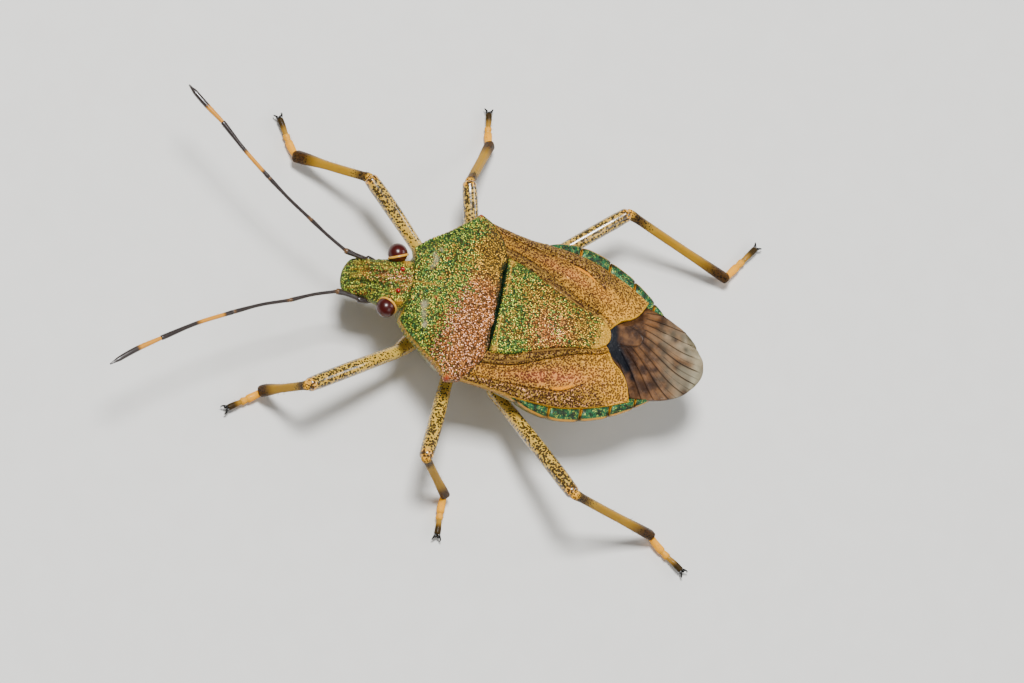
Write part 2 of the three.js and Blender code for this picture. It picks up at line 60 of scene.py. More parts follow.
# From the bug's own millimetres to the shared frame
SHIFT = np.array([0.5448365, -4.5116987, 0.0])
MM_PER_METRE = 1000.0
SIDES = ((1, "left"), (-1, "right"))
# Painted fields that the lower side of a plate doesn't carry
UPPER_SIDE_ONLY = ("callus", "shoulder", "edge")
# Rings of a rounded limb end, as shares of its radius, and the end's length in radii
TIP_RINGS = (0.0, 0.35, 0.7, 0.92)
TIP_LENGTH = 0.7
NOISE_CELLS = 64
# Spacing of the eye's facets, in millimetres
FACET_SPACING = 0.045


def along(stations, x):
    """Smooth value through a list of [position, value] pairs."""
    table = np.array(stations, float)
    place, value = table[:, 0], table[:, 1]
    slope = np.gradient(value, place)
    x = np.clip(np.asarray(x, float), place[0], place[-1])
    i = np.clip(np.searchsorted(place, x, side="right") - 1, 0, len(place) - 2)
    h = place[i + 1] - place[i]
    t = (x - place[i]) / h
    return ((2 * t ** 3 - 3 * t ** 2 + 1) * value[i] + (t ** 3 - 2 * t ** 2 + t) * h * slope[i]
            + (3 * t ** 2 - 2 * t ** 3) * value[i + 1] + (t ** 3 - t ** 2) * h * slope[i + 1])


def ease(a, b, x):
    """Smooth step from 0 at a to 1 at b."""
    t = np.clip((np.asarray(x, float) - a) / (b - a), 0, 1)
    return t * t * (3 - 2 * t)


def bell(x, centre, width):
    """Rounded ridge of height 1 at the centre."""
    return np.exp(-((np.asarray(x, float) - centre) / width) ** 2)


def back_height(x, y):
    """Height of the back over a plan point, in millimetres."""
    s = np.minimum(1, np.abs(x) / along(BACK_HALF, y))
    high, low = along(SPINE, y), along(RIM, y)
    return high + (low - high) * s ** 2.1


def soft_noise(x, y, size, seed):
    """Smooth random field from 0 to 1 with lumps of about the given size."""
    rng = np.random.default_rng(seed)
    table = rng.random((NOISE_CELLS, NOISE_CELLS))
    u, v = np.asarray(x, float) / size + 31.3, np.asarray(y, float) / size + 17.7
    i, j = np.floor(u).astype(int), np.floor(v).astype(int)
    a, b = u - i, v - j
    a, b = a * a * (3 - 2 * a), b * b * (3 - 2 * b)
    i, j, right, up = i % NOISE_CELLS, j % NOISE_CELLS, (i + 1) % NOISE_CELLS, (j + 1) % NOISE_CELLS
    near = table[i, j] * (1 - a) + table[right, j] * a
    far = table[i, up] * (1 - a) + table[right, up] * a
    return near * (1 - b) + far * b


def uneven(x, y, depth, size, seed):
    """Soft lumps around zero, of the given depth and size."""
    return depth * (soft_noise(x, y, size, seed) - 0.5)


def curve(points):
    """Evenly travelled smooth curve through points of two or three coordinates."""
    points = np.array(points, float)
    steps = np.concatenate([[0], np.cumsum(np.linalg.norm(np.diff(points, axis=0), axis=1) ** 0.5)])
    fine = np.linspace(0, steps[-1], 400)
    path = np.stack([along(np.stack([steps, points[:, k]], 1), fine)
                     for k in range(points.shape[1])], 1)
    run = np.concatenate([[0], np.cumsum(np.linalg.norm(np.diff(path, axis=0), axis=1))])
    run = run / run[-1]
    return lambda t: np.stack([np.interp(t, run, column) for column in path.T], -1)


def patch(front, rear, right, left, u, v):
    """Plan points of a patch between four curves, for grids u and v."""
    f, r, a, b = curve(front), curve(rear), curve(right), curve(left)
    uu, vv = u[..., None], v[..., None]
    corners = ((1 - uu) * (1 - vv) * f(0.0) + uu * (1 - vv) * f(1.0)
               + (1 - uu) * vv * r(0.0) + uu * vv * r(1.0))
    return (1 - vv) * f(u) + vv * r(u) + (1 - uu) * a(v) + uu * b(v) - corners


def mirrored(points):
    """The same plan points on the right side of the bug."""
    return [[-p[0]] + list(p[1:]) for p in points]


def grid_uv(cols, rows):
    """Grid parameters from 0 to 1, closer together at the borders."""
    def spread(n):
        t = np.linspace(0, 1, n)
        return 0.45 * t + 0.55 * (0.5 - 0.5 * np.cos(math.pi * t))
    return np.meshgrid(spread(cols), spread(rows))


def lip(u, v, wide, deep):
    """Quarter-round drop at a plate's border: 0 inside, 1 at the very edge."""
    d = np.minimum(np.minimum(u, 1 - u) / wide, np.minimum(v, 1 - v) / deep)
    d = np.clip(d, 0, 1)
    return 1 - np.sqrt(np.clip(1 - (1 - d) ** 2, 0, 1))


class Shell:
    """Vertices, faces and painted fields of one piece, in body millimetres."""

    def __init__(self):
        self.points = []
        self.faces = []
        self.fields = {}
        self.count = 0

    def grid(self, points, wrap=False, flip=False, caps=False, **fields):
        """Adds a grid of points, closed across its columns when wrap is set."""
        rows, cols = points.shape[:2]
        index = np.arange(rows * cols).reshape(rows, cols) + self.count
        right = np.roll(index, -1, axis=1) if wrap else index[:, 1:]
        here = index if wrap else index[:, :-1]
        quads = np.stack([here[:-1], right[:-1], right[1:], here[1:]], -1).reshape(-1, 4)
        self.faces.extend((quads[:, ::-1] if flip else quads).tolist())
        if caps:
            ends = [index[0][::-1].tolist(), index[-1].tolist()]
            self.faces.extend([e[::-1] for e in ends] if flip else ends)
        self.add_points(points.reshape(-1, 3), rows * cols, fields)
        return index

    def add_points(self, points, number, fields):
        """Adds loose points with their painted fields."""
        for name in {**self.fields, **fields}:
            held = self.fields.setdefault(name, [np.zeros(self.count)] if self.count else [])
            value = fields.get(name, 0.0)
            held.append(np.broadcast_to(np.asarray(value, float).reshape(-1)
                                        if np.ndim(value) else value, (number,)))
        self.points.append(points)
        self.count += number

    def plate(self, plan, top, bottom, **fields):
        """Adds a closed plate from a plan grid and its upper and lower heights."""
        upper = self.grid(np.dstack([plan, top]), **fields)
        fields.update({key: 0.0 for key in UPPER_SIDE_ONLY if key in fields})
        lower = self.grid(np.dstack([plan, bottom]), flip=True, **fields)
        a, b = [np.concatenate([m[0, :-1], m[:-1, -1], m[-1, :0:-1], m[:0:-1, 0]]) for m in (upper, lower)]
        self.faces.extend(np.stack([a, b, np.roll(b, -1), np.roll(a, -1)], -1).tolist())

    def tube(self, path, radius, sides, steps, shape=None, **fields):
        """Adds a round-ended limb along a path: radius is a function of its share of the length."""
        t = np.linspace(0, 1, steps)
        centre = curve(path)(t)
        heading = np.gradient(centre, axis=0)
        heading /= np.linalg.norm(heading, axis=1)[:, None]
        side = np.cross(heading, [0.0, 0.0, 1.0])
        side /= np.maximum(np.linalg.norm(side, axis=1), 1e-9)[:, None]
        rise = np.cross(side, heading)
        a = np.linspace(0, 2 * math.pi, sides, endpoint=False)
        r = np.asarray(radius(t), float)[:, None] * np.ones((1, sides))
        if shape is not None:
            r = r * shape(t[:, None], a[None, :])
        points = (centre[:, None] + side[:, None] * (r * np.cos(a))[..., None]
                  + rise[:, None] * (r * np.sin(a))[..., None])
        ends = []
        for k, way in ((0, -1), (-1, 1)):
            reach = heading[k] * way * float(r[k].mean())
            ends.append([centre[k] + (points[k] - centre[k]) * f
                         + reach * math.sqrt(1 - f * f) * TIP_LENGTH for f in TIP_RINGS[::-way]])
        points = np.concatenate([np.array(ends[0]), points, np.array(ends[1])])
        share = np.repeat(np.pad(t, len(TIP_RINGS), "edge")[:, None], sides, 1)
        turn = np.repeat(np.sin(a)[None, :], len(share), 0)
        self.grid(points, wrap=True,
                  **{key: f(share, turn) if callable(f) else f for key, f in fields.items()})

    def ball(self, centre, radius, stretch, rows, cols):
        """Adds a rounded body."""
        lat = np.linspace(-math.pi / 2, math.pi / 2, rows)[:, None]
        lon = np.linspace(0, 2 * math.pi, cols, endpoint=False)[None, :]
        unit = np.dstack([np.cos(lat) * np.cos(lon), np.cos(lat) * np.sin(lon),
                          np.sin(lat) * np.ones_like(lon)])
        self.grid(np.array(centre) + unit * radius * np.array(stretch), wrap=True)

    def build(self, name, material, replaced=(), crease=48):
        """Makes the Blender object in a finish by its name, riding on the frame's one body."""
        points = (np.concatenate(self.points) + SHIFT) / MM_PER_METRE
        mesh = bpy.data.meshes.new(name)
        mesh.from_pydata(points.tolist(), [], self.faces)
        mesh.validate()
        for key, values in self.fields.items():
            layer = mesh.attributes.new(key, "FLOAT", "POINT")
            layer.data.foreach_set("value", np.concatenate(values).astype(np.float32))
        mesh.materials.append(bpy.data.materials[material])
        mesh.shade_smooth()
        mesh.set_sharp_from_angle(angle=math.radians(crease))
        obj = bpy.data.objects.new(name, mesh)
        bpy.context.scene.collection.objects.link(obj)
        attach(obj, "root")
        if replaced:
            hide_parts(*replaced)


def linear(code):
    """Linear colour from an sRGB hex code."""
    parts = [int(code[i:i + 2], 16) / 255 for i in (1, 3, 5)]
    return tuple(p / 12.92 if p <= 0.04045 else ((p + 0.055) / 1.055) ** 2.4 for p in parts) + (1.0,)


# Forms of node: the kind, the sockets that take its values, its output and its settings
NODE_FORMS = {
    "place": ("ShaderNodeTexCoord", (), "Object", {}),
    "scaled": ("ShaderNodeVectorMath", (0, 1), 0, {"operation": "MULTIPLY"}),
    "painted": ("ShaderNodeAttribute", (), "Fac", {}),
    "noise": ("ShaderNodeTexNoise", ("Vector", "Scale", "Detail"), 0, {}),
    "cells": ("ShaderNodeTexVoronoi", ("Vector", "Scale", "Randomness"), "Distance", {}),
    "cell_tints": ("ShaderNodeTexVoronoi", ("Vector", "Scale"), "Color", {}),
    "split": ("ShaderNodeSeparateColor", (0,), 0, {}),
    "blend": ("ShaderNodeMix", (0, 6, 7), 2, {"data_type": "RGBA"}),
    "rise": ("ShaderNodeMapRange", ("Value", "From Min", "From Max", "To Min", "To Max"), 0,
             {"interpolation_type": "SMOOTHSTEP"}),
    "times": ("ShaderNodeMath", (0, 1), 0, {"operation": "MULTIPLY"}),
    "times_plus": ("ShaderNodeMath", (0, 1, 2), 0, {"operation": "MULTIPLY_ADD"}),
    "minus": ("ShaderNodeMath", (0, 1), 0, {"operation": "SUBTRACT"}),
    "larger": ("ShaderNodeMath", (0, 1), 0, {"operation": "MAXIMUM"}),
    "bump": ("ShaderNodeBump", ("Height", "Distance", "Strength"), 0, {}),
}


def add(tree, form, *values, **settings):
    """Adds a node with its settings, values and links, and returns its output."""
    kind, sockets, out, fixed = NODE_FORMS[form]
    made = tree.nodes.new(kind)
    for key, value in {**fixed, **settings}.items():
        setattr(made, key, value)
    for key, value in zip(sockets, values):
        if isinstance(value, bpy.types.NodeSocket):
            tree.links.new(value, made.inputs[key])
        else:
            made.inputs[key].default_value = linear(value) if isinstance(value, str) else value
    return made.outputs[out]


def start_material(name, *fields):
    """New material: its tree, its place in millimetres, its surface and its painted fields."""
    material = bpy.data.materials.new(name)
    material.use_nodes = True
    tree = material.node_tree
    tree.nodes.clear()
    spot = add(tree, "scaled", add(tree, "place"), (MM_PER_METRE, MM_PER_METRE, MM_PER_METRE))
    shader = tree.nodes.new("ShaderNodeBsdfPrincipled")
    end = tree.nodes.new("ShaderNodeOutputMaterial")
    tree.links.new(shader.outputs[0], end.inputs[0])
    return tree, spot, shader, {key: add(tree, "painted", attribute_name=key) for key in fields}


def layered(tree, colour, *layers):
    """Lays tints over a colour, each by its mask times its strength."""
    for mask, strength, tint in layers:
        colour = add(tree, "blend", add(tree, "times", mask, strength), colour, tint)
    return colour


def pits(tree, spot, spacing, low, high):
    """Punctures at a real spacing in millimetres: 1 in the pit, 0 between."""
    return add(tree, "rise", add(tree, "cells", spot, 1 / spacing), low, high, 1.0, 0.0)


def granules(tree, spot, spacing):
    """Three random values for each granule of the given spacing in millimetres."""
    return list(add(tree, "split", add(tree, "cell_tints", spot, 1 / spacing)).node.outputs)


def coated(tree, shader, colour, height, depth, strength):
    """Gives the surface its colour and a relief of a real depth in millimetres."""
    tree.links.new(colour, shader.inputs["Base Color"])
    bump = add(tree, "bump", height, depth / MM_PER_METRE, strength)
    tree.links.new(bump, shader.inputs["Normal"])


def metallic_cuticle(paint, spacing):
    """Structural-coloured cuticle: densely pitted green and bronze granules, with painted glints of lime,
    gold and pink on them.
    """
    tree, spot, shader, field = start_material("structural_colour_cuticle", "bronze", "rose", "groove",
                                               "scar", "callus", "shoulder")
    core = add(tree, "cells", spot, 1 / spacing)
    first, second, third = granules(tree, spot, spacing)
    pit = add(tree, "rise", core, 0.34, 0.56)
    lump = add(tree, "noise", spot, 1.3, 4.0)
    bronze = add(tree, "times_plus", lump, 0.8, field["bronze"])
    bronze = add(tree, "times_plus", third, 0.75, bronze)
    bronze = add(tree, "rise", bronze, 1.1, 1.35)
    green = add(tree, "blend", first, paint.deep_green, paint.bright_green)
    copper = add(tree, "blend", first, paint.copper, paint.light_copper)
    olive = add(tree, "blend", first, paint.olive, paint.light_olive)
    copper = add(tree, "blend", add(tree, "rise", field["rose"], 0.0, 0.55), olive, copper)
    colour = add(tree, "blend", bronze, green, copper)
    # Painted highlight: rosy, warm and glint are the colours of the painted glints, pinker where the rose
    # field is high
    rosy = add(tree, "times_plus", first, 0.5, field["rose"])
    warm = add(tree, "blend", add(tree, "rise", rosy, 0.55, 0.9), paint.gold, paint.pink)
    glint = add(tree, "blend", bronze, paint.lime, warm)
    glint = layered(tree, glint,
                    (add(tree, "rise", first, 0.55, 0.65), 0.8, paint.gold),
                    (add(tree, "rise", rosy, 0.75, 1.0), 1.0, paint.pink))
    # bright marks where the painted glints sit, on the tops of some granules
    bright = add(tree, "times", add(tree, "rise", second, 0.5, 0.68), add(tree, "rise", core, 0.52, 0.26))
    swelling = layered(tree, paint.callus, (pit, 0.45, paint.pit))
    colour = layered(tree, colour,
                     (bright, 0.9, glint),
                     (pit, 0.82, paint.pit),
                     (field["groove"], 1.0, paint.groove),
                     (field["scar"], 0.8, paint.scar),
                     (field["callus"], 1.0, swelling),
                     (field["shoulder"], 1.0, paint.shoulder))
    plain = add(tree, "larger", field["callus"], field["scar"])
    plain = add(tree, "larger", plain, field["shoulder"])
    shader.inputs["Specular IOR Level"].default_value = 0.25
    tree.links.new(add(tree, "rise", plain, 0.0, 1.0, 0.6, 0.0), shader.inputs["Metallic"])
    tree.links.new(add(tree, "rise", second, 0.5, 1.0, 0.5, 0.32), shader.inputs["Roughness"])
    height = add(tree, "minus", add(tree, "times", first, 0.3), core)
    coated(tree, shader, colour, height, 0.03, 0.9)


def leathery_wing(paint, spacing):
    """Fore wing leather: yellow ground under brown-purple punctures, with a painted pink-bronze sheen."""
    tree, spot, shader, field = start_material("punctured_wing_leather", "warm", "sheen", "flush", "spot",
                                               "streak", "stripe", "dark", "edge")
    pit = pits(tree, spot, spacing, 0.4, 0.6)
    fine = pits(tree, spot, spacing * 0.6, 0.2, 0.5)
    first, second = granules(tree, spot, spacing * 0.8)[:2]
    lump = add(tree, "noise", spot, 1.6, 5.0)
    warm = add(tree, "rise", add(tree, "times_plus", lump, 0.9, field["warm"]), 0.4, 1.1)
    ground = add(tree, "blend", first, paint.wing_brown, paint.wing_light)
    # bright: painted pink highlight on some granules, laid by the sheen field
    bright = add(tree, "times", add(tree, "rise", second, 0.74, 0.9), field["sheen"])
    flush = add(tree, "times", field["flush"], add(tree, "rise", lump, 0.3, 0.6, 0.35, 1.0))
    hole = add(tree, "blend", flush, paint.wing_pit, paint.wing_plum)
    clear = add(tree, "minus", 1.0, field["spot"])
    cover = add(tree, "times", add(tree, "rise", warm, 0.0, 1.0, 0.98, 0.85), clear)
    colour = layered(tree, ground,
                     (warm, 1.0, paint.wing_yellow),
                     (bright, 1.0, paint.wing_pink),
                     (flush, 0.7, paint.wing_flush),
                     (add(tree, "times", pit, cover), 1.0, hole),
                     (add(tree, "times", fine, clear), 0.35, hole),
                     (field["spot"], 1.0, paint.wing_spot),
                     (field["streak"], 0.7, paint.wing_pit),
                     (field["stripe"], 0.7, paint.wing_vein),
                     (field["dark"], 0.85, paint.wing_pit),
                     (field["edge"], 1.0, paint.callus))
    shader.inputs["Specular IOR Level"].default_value = 0.15
    tree.links.new(add(tree, "rise", warm, 0.0, 1.0, 0.3, 0.1), shader.inputs["Metallic"])
    tree.links.new(add(tree, "rise", second, 0.4, 1.0, 0.5, 0.3), shader.inputs["Roughness"])
    height = add(tree, "minus", add(tree, "times", first, 0.3), pit)
    coated(tree, shader, colour, height, 0.022, 0.9)


def smoky_membrane(paint):
    """Wing membrane: thin smoky film with dark veins, a blue-black base and a lighter wrinkled rim with
    painted silvery highlights on its wrinkles.
    """
    tree, spot, shader, field = start_material("smoky_wing_membrane", "rim", "vein", "smudge", "base")
    lump = add(tree, "noise", spot, 1.8, 5.0)
    film = add(tree, "blend", add(tree, "rise", lump, 0.35, 0.7), paint.film_dark, paint.film)
    film = layered(tree, film,
                   # The rim field carries the lighter rear of the film and the painted silvery highlight of
                   # the wrinkles
                   (field["rim"], 1.0, paint.film_rim),
                   (field["vein"], 1.0, paint.film_vein),
                   (field["smudge"], 1.0, paint.film_base),
                   (field["base"], 1.0, paint.film_base))
    shader.inputs["Roughness"].default_value = 0.42
    shader.inputs["Specular IOR Level"].default_value = 0.22
    coated(tree, shader, film, add(tree, "noise", spot, 9.0, 3.0), 0.03, 0.6)


def rim_plates(paint, spacing):
    """Abdomen rim plates: bright metallic green, orange along the edge and the joints."""
    tree, spot, shader, field = start_material("metallic_rim_cuticle", "dark", "edge")
    pit = pits(tree, spot, spacing * 0.8, 0.15, 0.45)
    first, second = granules(tree, spot, spacing * 0.6)[:2]
    lump = add(tree, "noise", spot, 5.0, 3.0)
    colour = add(tree, "blend", first, paint.deep_green, paint.rim_green)
    colour = layered(tree, colour,
                     # Painted highlight: lime glints on some granules
                     (add(tree, "rise", second, 0.8, 0.95), 0.5, paint.lime),
                     (add(tree, "rise", lump, 0.44, 0.6), 0.85, paint.joint_black),
                     (pit, 0.8, paint.pit),
                     (field["dark"], 1.0, paint.joint_black),
                     (field["edge"], 1.0, paint.rim_orange))
    tree.links.new(add(tree, "rise", field["edge"], 0.0, 1.0, 0.45, 0.0), shader.inputs["Metallic"])
    shader.inputs["Roughness"].default_value = 0.4
    coated(tree, shader, colour, add(tree, "minus", first, pit), 0.018, 0.8)


def under_cuticle(paint, spacing):
    """Underside cuticle: waxy pale yellow with a green gloss and dark punctures."""
    tree, spot, shader, field = start_material("waxy_underside_cuticle", "green", "dark")
    pit = pits(tree, spot, spacing * 1.7, 0.16, 0.36)
    first = granules(tree, spot, spacing * 0.9)[0]
    lump = add(tree, "noise", spot, 1.2, 3.0)
    tinge = add(tree, "times", field["green"], add(tree, "rise", lump, 0.3, 0.7, 0.1, 0.6))
    colour = add(tree, "blend", first, paint.belly, paint.belly_dark)
    colour = layered(tree, colour,
                     (tinge, 1.0, paint.deep_green),
                     (pit, 0.9, paint.pit),
                     (field["dark"], 1.0, paint.joint_black))
    shader.inputs["Metallic"].default_value = 0.2
    shader.inputs["Roughness"].default_value = 0.34
    coated(tree, shader, colour, add(tree, "minus", 0.0, pit), 0.02, 0.7)


def speckled_leg(paint, name, specks=0.095, gloss=0.9, rough=0.26, shine=0.5):
    """Leg cuticle: glossy pale yellow, black specks that thicken towards the knee."""
    tree, spot, shader, field = start_material(name, "dense", "amber", "orange", "brown", "dark")
    speck = add(tree, "cells", spot, 1 / specks)
    wobble = add(tree, "noise", spot, 4.0, 3.0)
    limit = add(tree, "times_plus", field["dense"], 0.3, 0.32)
    limit = add(tree, "times", limit, add(tree, "rise", wobble, 0.3, 0.7, 0.8, 1.08))
    inside = add(tree, "rise", add(tree, "minus", limit, speck), -0.015, 0.03)
    inside = add(tree, "times", inside, add(tree, "rise", field["dense"], 0.0, 0.08))
    tone = add(tree, "noise", spot, 1.5, 4.0)
    colour = add(tree, "blend", tone, paint.leg, paint.leg_shade)
    colour = layered(tree, colour,
                     (field["amber"], 1.0, paint.leg_amber),
                     (field["orange"], 1.0, paint.leg_orange),
                     (field["brown"], 1.0, paint.leg_brown),
                     (inside, 0.92, paint.speck),
                     (field["dark"], 1.0, paint.speck))
    shader.inputs["Roughness"].default_value = rough
    shader.inputs["Specular IOR Level"].default_value = shine
    shader.inputs["Subsurface Weight"].default_value = 0.08
    shader.inputs["Subsurface Scale"].default_value = 0.0003
    shader.inputs["Coat Weight"].default_value = gloss
    shader.inputs["Coat Roughness"].default_value = 0.1
    coated(tree, shader, colour, add(tree, "noise", spot, 22.0, 2.0), 0.012, 0.5)


def dark_feeler(paint):
    """Antenna cuticle: glossy black-brown, with orange bands."""
    tree, spot, shader, field = start_material("banded_antenna_cuticle", "amber")
    tone = add(tree, "noise", spot, 6.0, 4.0)
    colour = add(tree, "blend", tone, paint.feeler, paint.feeler_light)
    colour = add(tree, "blend", field["amber"], colour, paint.feeler_band)
    shader.inputs["Roughness"].default_value = 0.32
    shader.inputs["Coat Weight"].default_value = 0.6
    shader.inputs["Coat Roughness"].default_value = 0.15
    coated(tree, shader, colour, add(tree, "noise", spot, 30.0, 2.0), 0.008, 0.6)


def glossy_eye(paint):
    """Compound eye: wet-looking dark maroon over very fine facets."""
    tree, spot, shader = start_material("compound_eye_gloss")[:3]
    facet = add(tree, "cells", spot, 1 / FACET_SPACING, 0.2)
    tone = add(tree, "noise", spot, 2.2, 2.0)
    shader.inputs["Roughness"].default_value = 0.3
    shader.inputs["Specular IOR Level"].default_value = 0.3
    shader.inputs["Coat Weight"].default_value = 0.35
    shader.inputs["Coat Roughness"].default_value = 0.16
    coated(tree, shader, add(tree, "blend", tone, paint.eye, paint.eye_light), facet, 0.006, 0.35)


def smooth_cuticle(name, light, dark, rough):
    """Smooth hard cuticle with a slight mottle between two hues."""
    tree, spot, shader = start_material(name)[:3]
    tone = add(tree, "noise", spot, 5.0, 3.0)
    shader.inputs["Roughness"].default_value = rough
    shader.inputs["Coat Weight"].default_value = 0.15
    coated(tree, shader, add(tree, "blend", tone, light, dark), tone, 0.01, 0.3)


def hex_colour(name, description, default):
    """A colour property held as an sRGB hex code."""
    return bpy.props.StringProperty(name=name, description=description, default=default, maxlen=7)


class ShieldBugSizes(bpy.types.PropertyGroup):
    """Sizes that a user would change, in millimetres."""

    puncture_spacing: bpy.props.FloatProperty(
        name="Puncture spacing", default=0.066,
        description="Distance between the pits of the shield, mm")
    wing_puncture: bpy.props.FloatProperty(
        name="Wing puncture spacing", default=0.072,
        description="Distance between the pits of the fore wings, mm")
    plate_thickness: bpy.props.FloatProperty(
        name="Plate thickness", description="Thickness of the wing plates, mm", default=0.3)
    femur_radius: bpy.props.FloatProperty(
        name="Femur radius", description="Largest radius of a femur, mm", default=0.325)
    tibia_radius: bpy.props.FloatProperty(
        name="Tibia radius", description="Radius of a tibia at its middle, mm", default=0.18)
    feeler_radius: bpy.props.FloatProperty(
        name="Antenna radius", description="Radius of the antenna's second segment, mm", default=0.09)
    eye_radius: bpy.props.FloatProperty(
        name="Eye radius", description="Radius of a compound eye, mm", default=0.4)
    hair_length: bpy.props.FloatProperty(
        name="Hair length", description="Length of a bristle on the shins, mm", default=0.16)


class ShieldBugColours(bpy.types.PropertyGroup):
    """Colours that a user would change, as sRGB hex codes."""

    deep_green: hex_colour("Deep green", "Darker green granules", "#1a643a")
    bright_green: hex_colour("Bright green", "Lighter green granules", "#8ca634")
    # Lime, gold and pink are the colours of the painted glints on the granules
    lime: hex_colour("Lime", "Bright yellow-green granules", "#e0ec54")
    gold: hex_colour("Gold", "Golden granules", "#ffc040")
    copper: hex_colour("Copper", "Darker bronze granules", "#98501f")
    olive: hex_colour("Olive bronze", "Darker olive granules", "#745614")
    light_olive: hex_colour("Light olive bronze", "Lighter olive granules", "#bc9430")
    light_copper: hex_colour("Light copper", "Lighter copper granules", "#dc9148")
    # Pink: colour of the painted pink glints on the granules
    pink: hex_colour("Pink bronze", "Pink granules", "#ffc0a2")
    pit: hex_colour("Pit", "Bottom of a puncture", "#17150a")
    # Groove: also laid as painted shade along the pronotum's rear edge and the scutellum's front
    groove: hex_colour("Head groove", "Lengthwise grooves of the head", "#08200e")
    scar: hex_colour("Pronotum scars", "Dull patches near the front", "#8c8468")
    callus: hex_colour("Callus", "Pale smooth swellings and edges", "#d69e22")
    shoulder: hex_colour("Shoulder tip", "Tips of the shoulders and small spots", "#983006")
    wing_brown: hex_colour("Wing brown", "Darker wing ground", "#6e5018")
    wing_light: hex_colour("Wing light", "Lighter wing ground", "#ae8638")
    # Wing pink: colour of the painted pink highlight that the wing's sheen field lays
    wing_pink: hex_colour("Wing pink", "Pink granules of the wing", "#e8a878")
    wing_flush: hex_colour("Wing flush", "Reddish flush of the inner cell", "#d87c50")
    wing_plum: hex_colour("Wing plum", "Punctures inside the flush", "#561018")
    wing_spot: hex_colour("Wing spot", "Bright crescent of the wing", "#f09408")
    wing_yellow: hex_colour("Wing yellow", "Warm patch of the wing", "#dc9c2c")
    wing_pit: hex_colour("Wing pit", "Punctures of the wing", "#3a200e")
    wing_vein: hex_colour("Wing vein", "Pale lengthwise veins", "#a07a3c")
    film: hex_colour("Membrane", "Clearer parts of the membrane", "#704c2c")
    film_dark: hex_colour("Membrane shade", "Smokier parts of the membrane", "#2c180a")
    film_vein: hex_colour("Membrane vein", "Veins", "#160a04")
    film_base: hex_colour("Membrane base", "Blue-black base patch", "#02050e")
    # Membrane rim: its silvery stripes on the wrinkles are painted highlight
    film_rim: hex_colour("Membrane rim", "Silvery wrinkled rim", "#aca488")
    rim_green: hex_colour("Rim green", "Rim plates", "#285a34")
    rim_orange: hex_colour("Rim orange", "Edge and joints of the rim", "#d0901c")
    joint_black: hex_colour("Joint black", "Dark marks at joints", "#15130f")
    belly: hex_colour("Belly", "Pale underside", "#ac9552")
    belly_dark: hex_colour("Belly shade", "Underside shade", "#7f6a36")
    leg: hex_colour("Leg", "Pale leg ground", "#dcb850")
    leg_shade: hex_colour("Leg shade", "Leg ground in shade", "#b88c2c")
    leg_amber: hex_colour("Shin", "Middle of the tibiae", "#9c7210")
    leg_orange: hex_colour("Foot", "Yellow-orange feet", "#f0a010")
    leg_brown: hex_colour("Shin ends", "Ends of the tibiae", "#301406")
    speck: hex_colour("Speck", "Specks of the legs", "#060402")
    feeler: hex_colour("Antenna", "Dark antenna", "#120d0c")
    feeler_light: hex_colour("Antenna light", "Lighter antenna parts", "#332622")
    feeler_band: hex_colour("Antenna band", "Orange bands", "#cc860e")
    eye: hex_colour("Eye", "Dark eye", "#200401")
    eye_light: hex_colour("Eye light", "Warmer part of the eye", "#4a0a04")
    eye_ring: hex_colour("Eye ring", "Rim behind the eye", "#c48a34")
    ocellus: hex_colour("Ocellus", "Small red eyes", "#8a0a06")
    bristle: hex_colour("Bristle", "Fine hairs of the limbs", "#7a6038")


HEAD_WIDTH = [[0, 0.5], [0.15, 0.66], [0.35, 0.76], [0.8, 0.8], [1.15, 0.83], [1.4, 0.9],
              [1.7, 0.97], [2.0, 1.0], [2.3, 1.02], [2.7, 1.2]]
HEAD_TOP = [[0, 2.92], [0.35, 3.14], [0.8, 3.46], [1.2, 3.75], [1.5, 3.98], [1.85, 4.2], [2.3, 4.42],
            [2.6, 4.5]]
HEAD_BOTTOM = [[0, 2.46], [0.35, 2.4], [0.8, 2.45], [1.2, 2.5], [1.5, 2.52], [1.85, 2.55], [2.6, 2.65]]
EYE_SPOT = (1.17, 1.84, 4.0)
OCELLUS_SPOT = (0.46, 2.12)
BEAK_JOINTS = [[0, 0.22, 2.42], [0, 0.4, 2.1], [0, 1.3, 1.95], [0, 2.3, 1.72], [0, 3.0, 1.55],
               [0, 3.62, 1.4]]


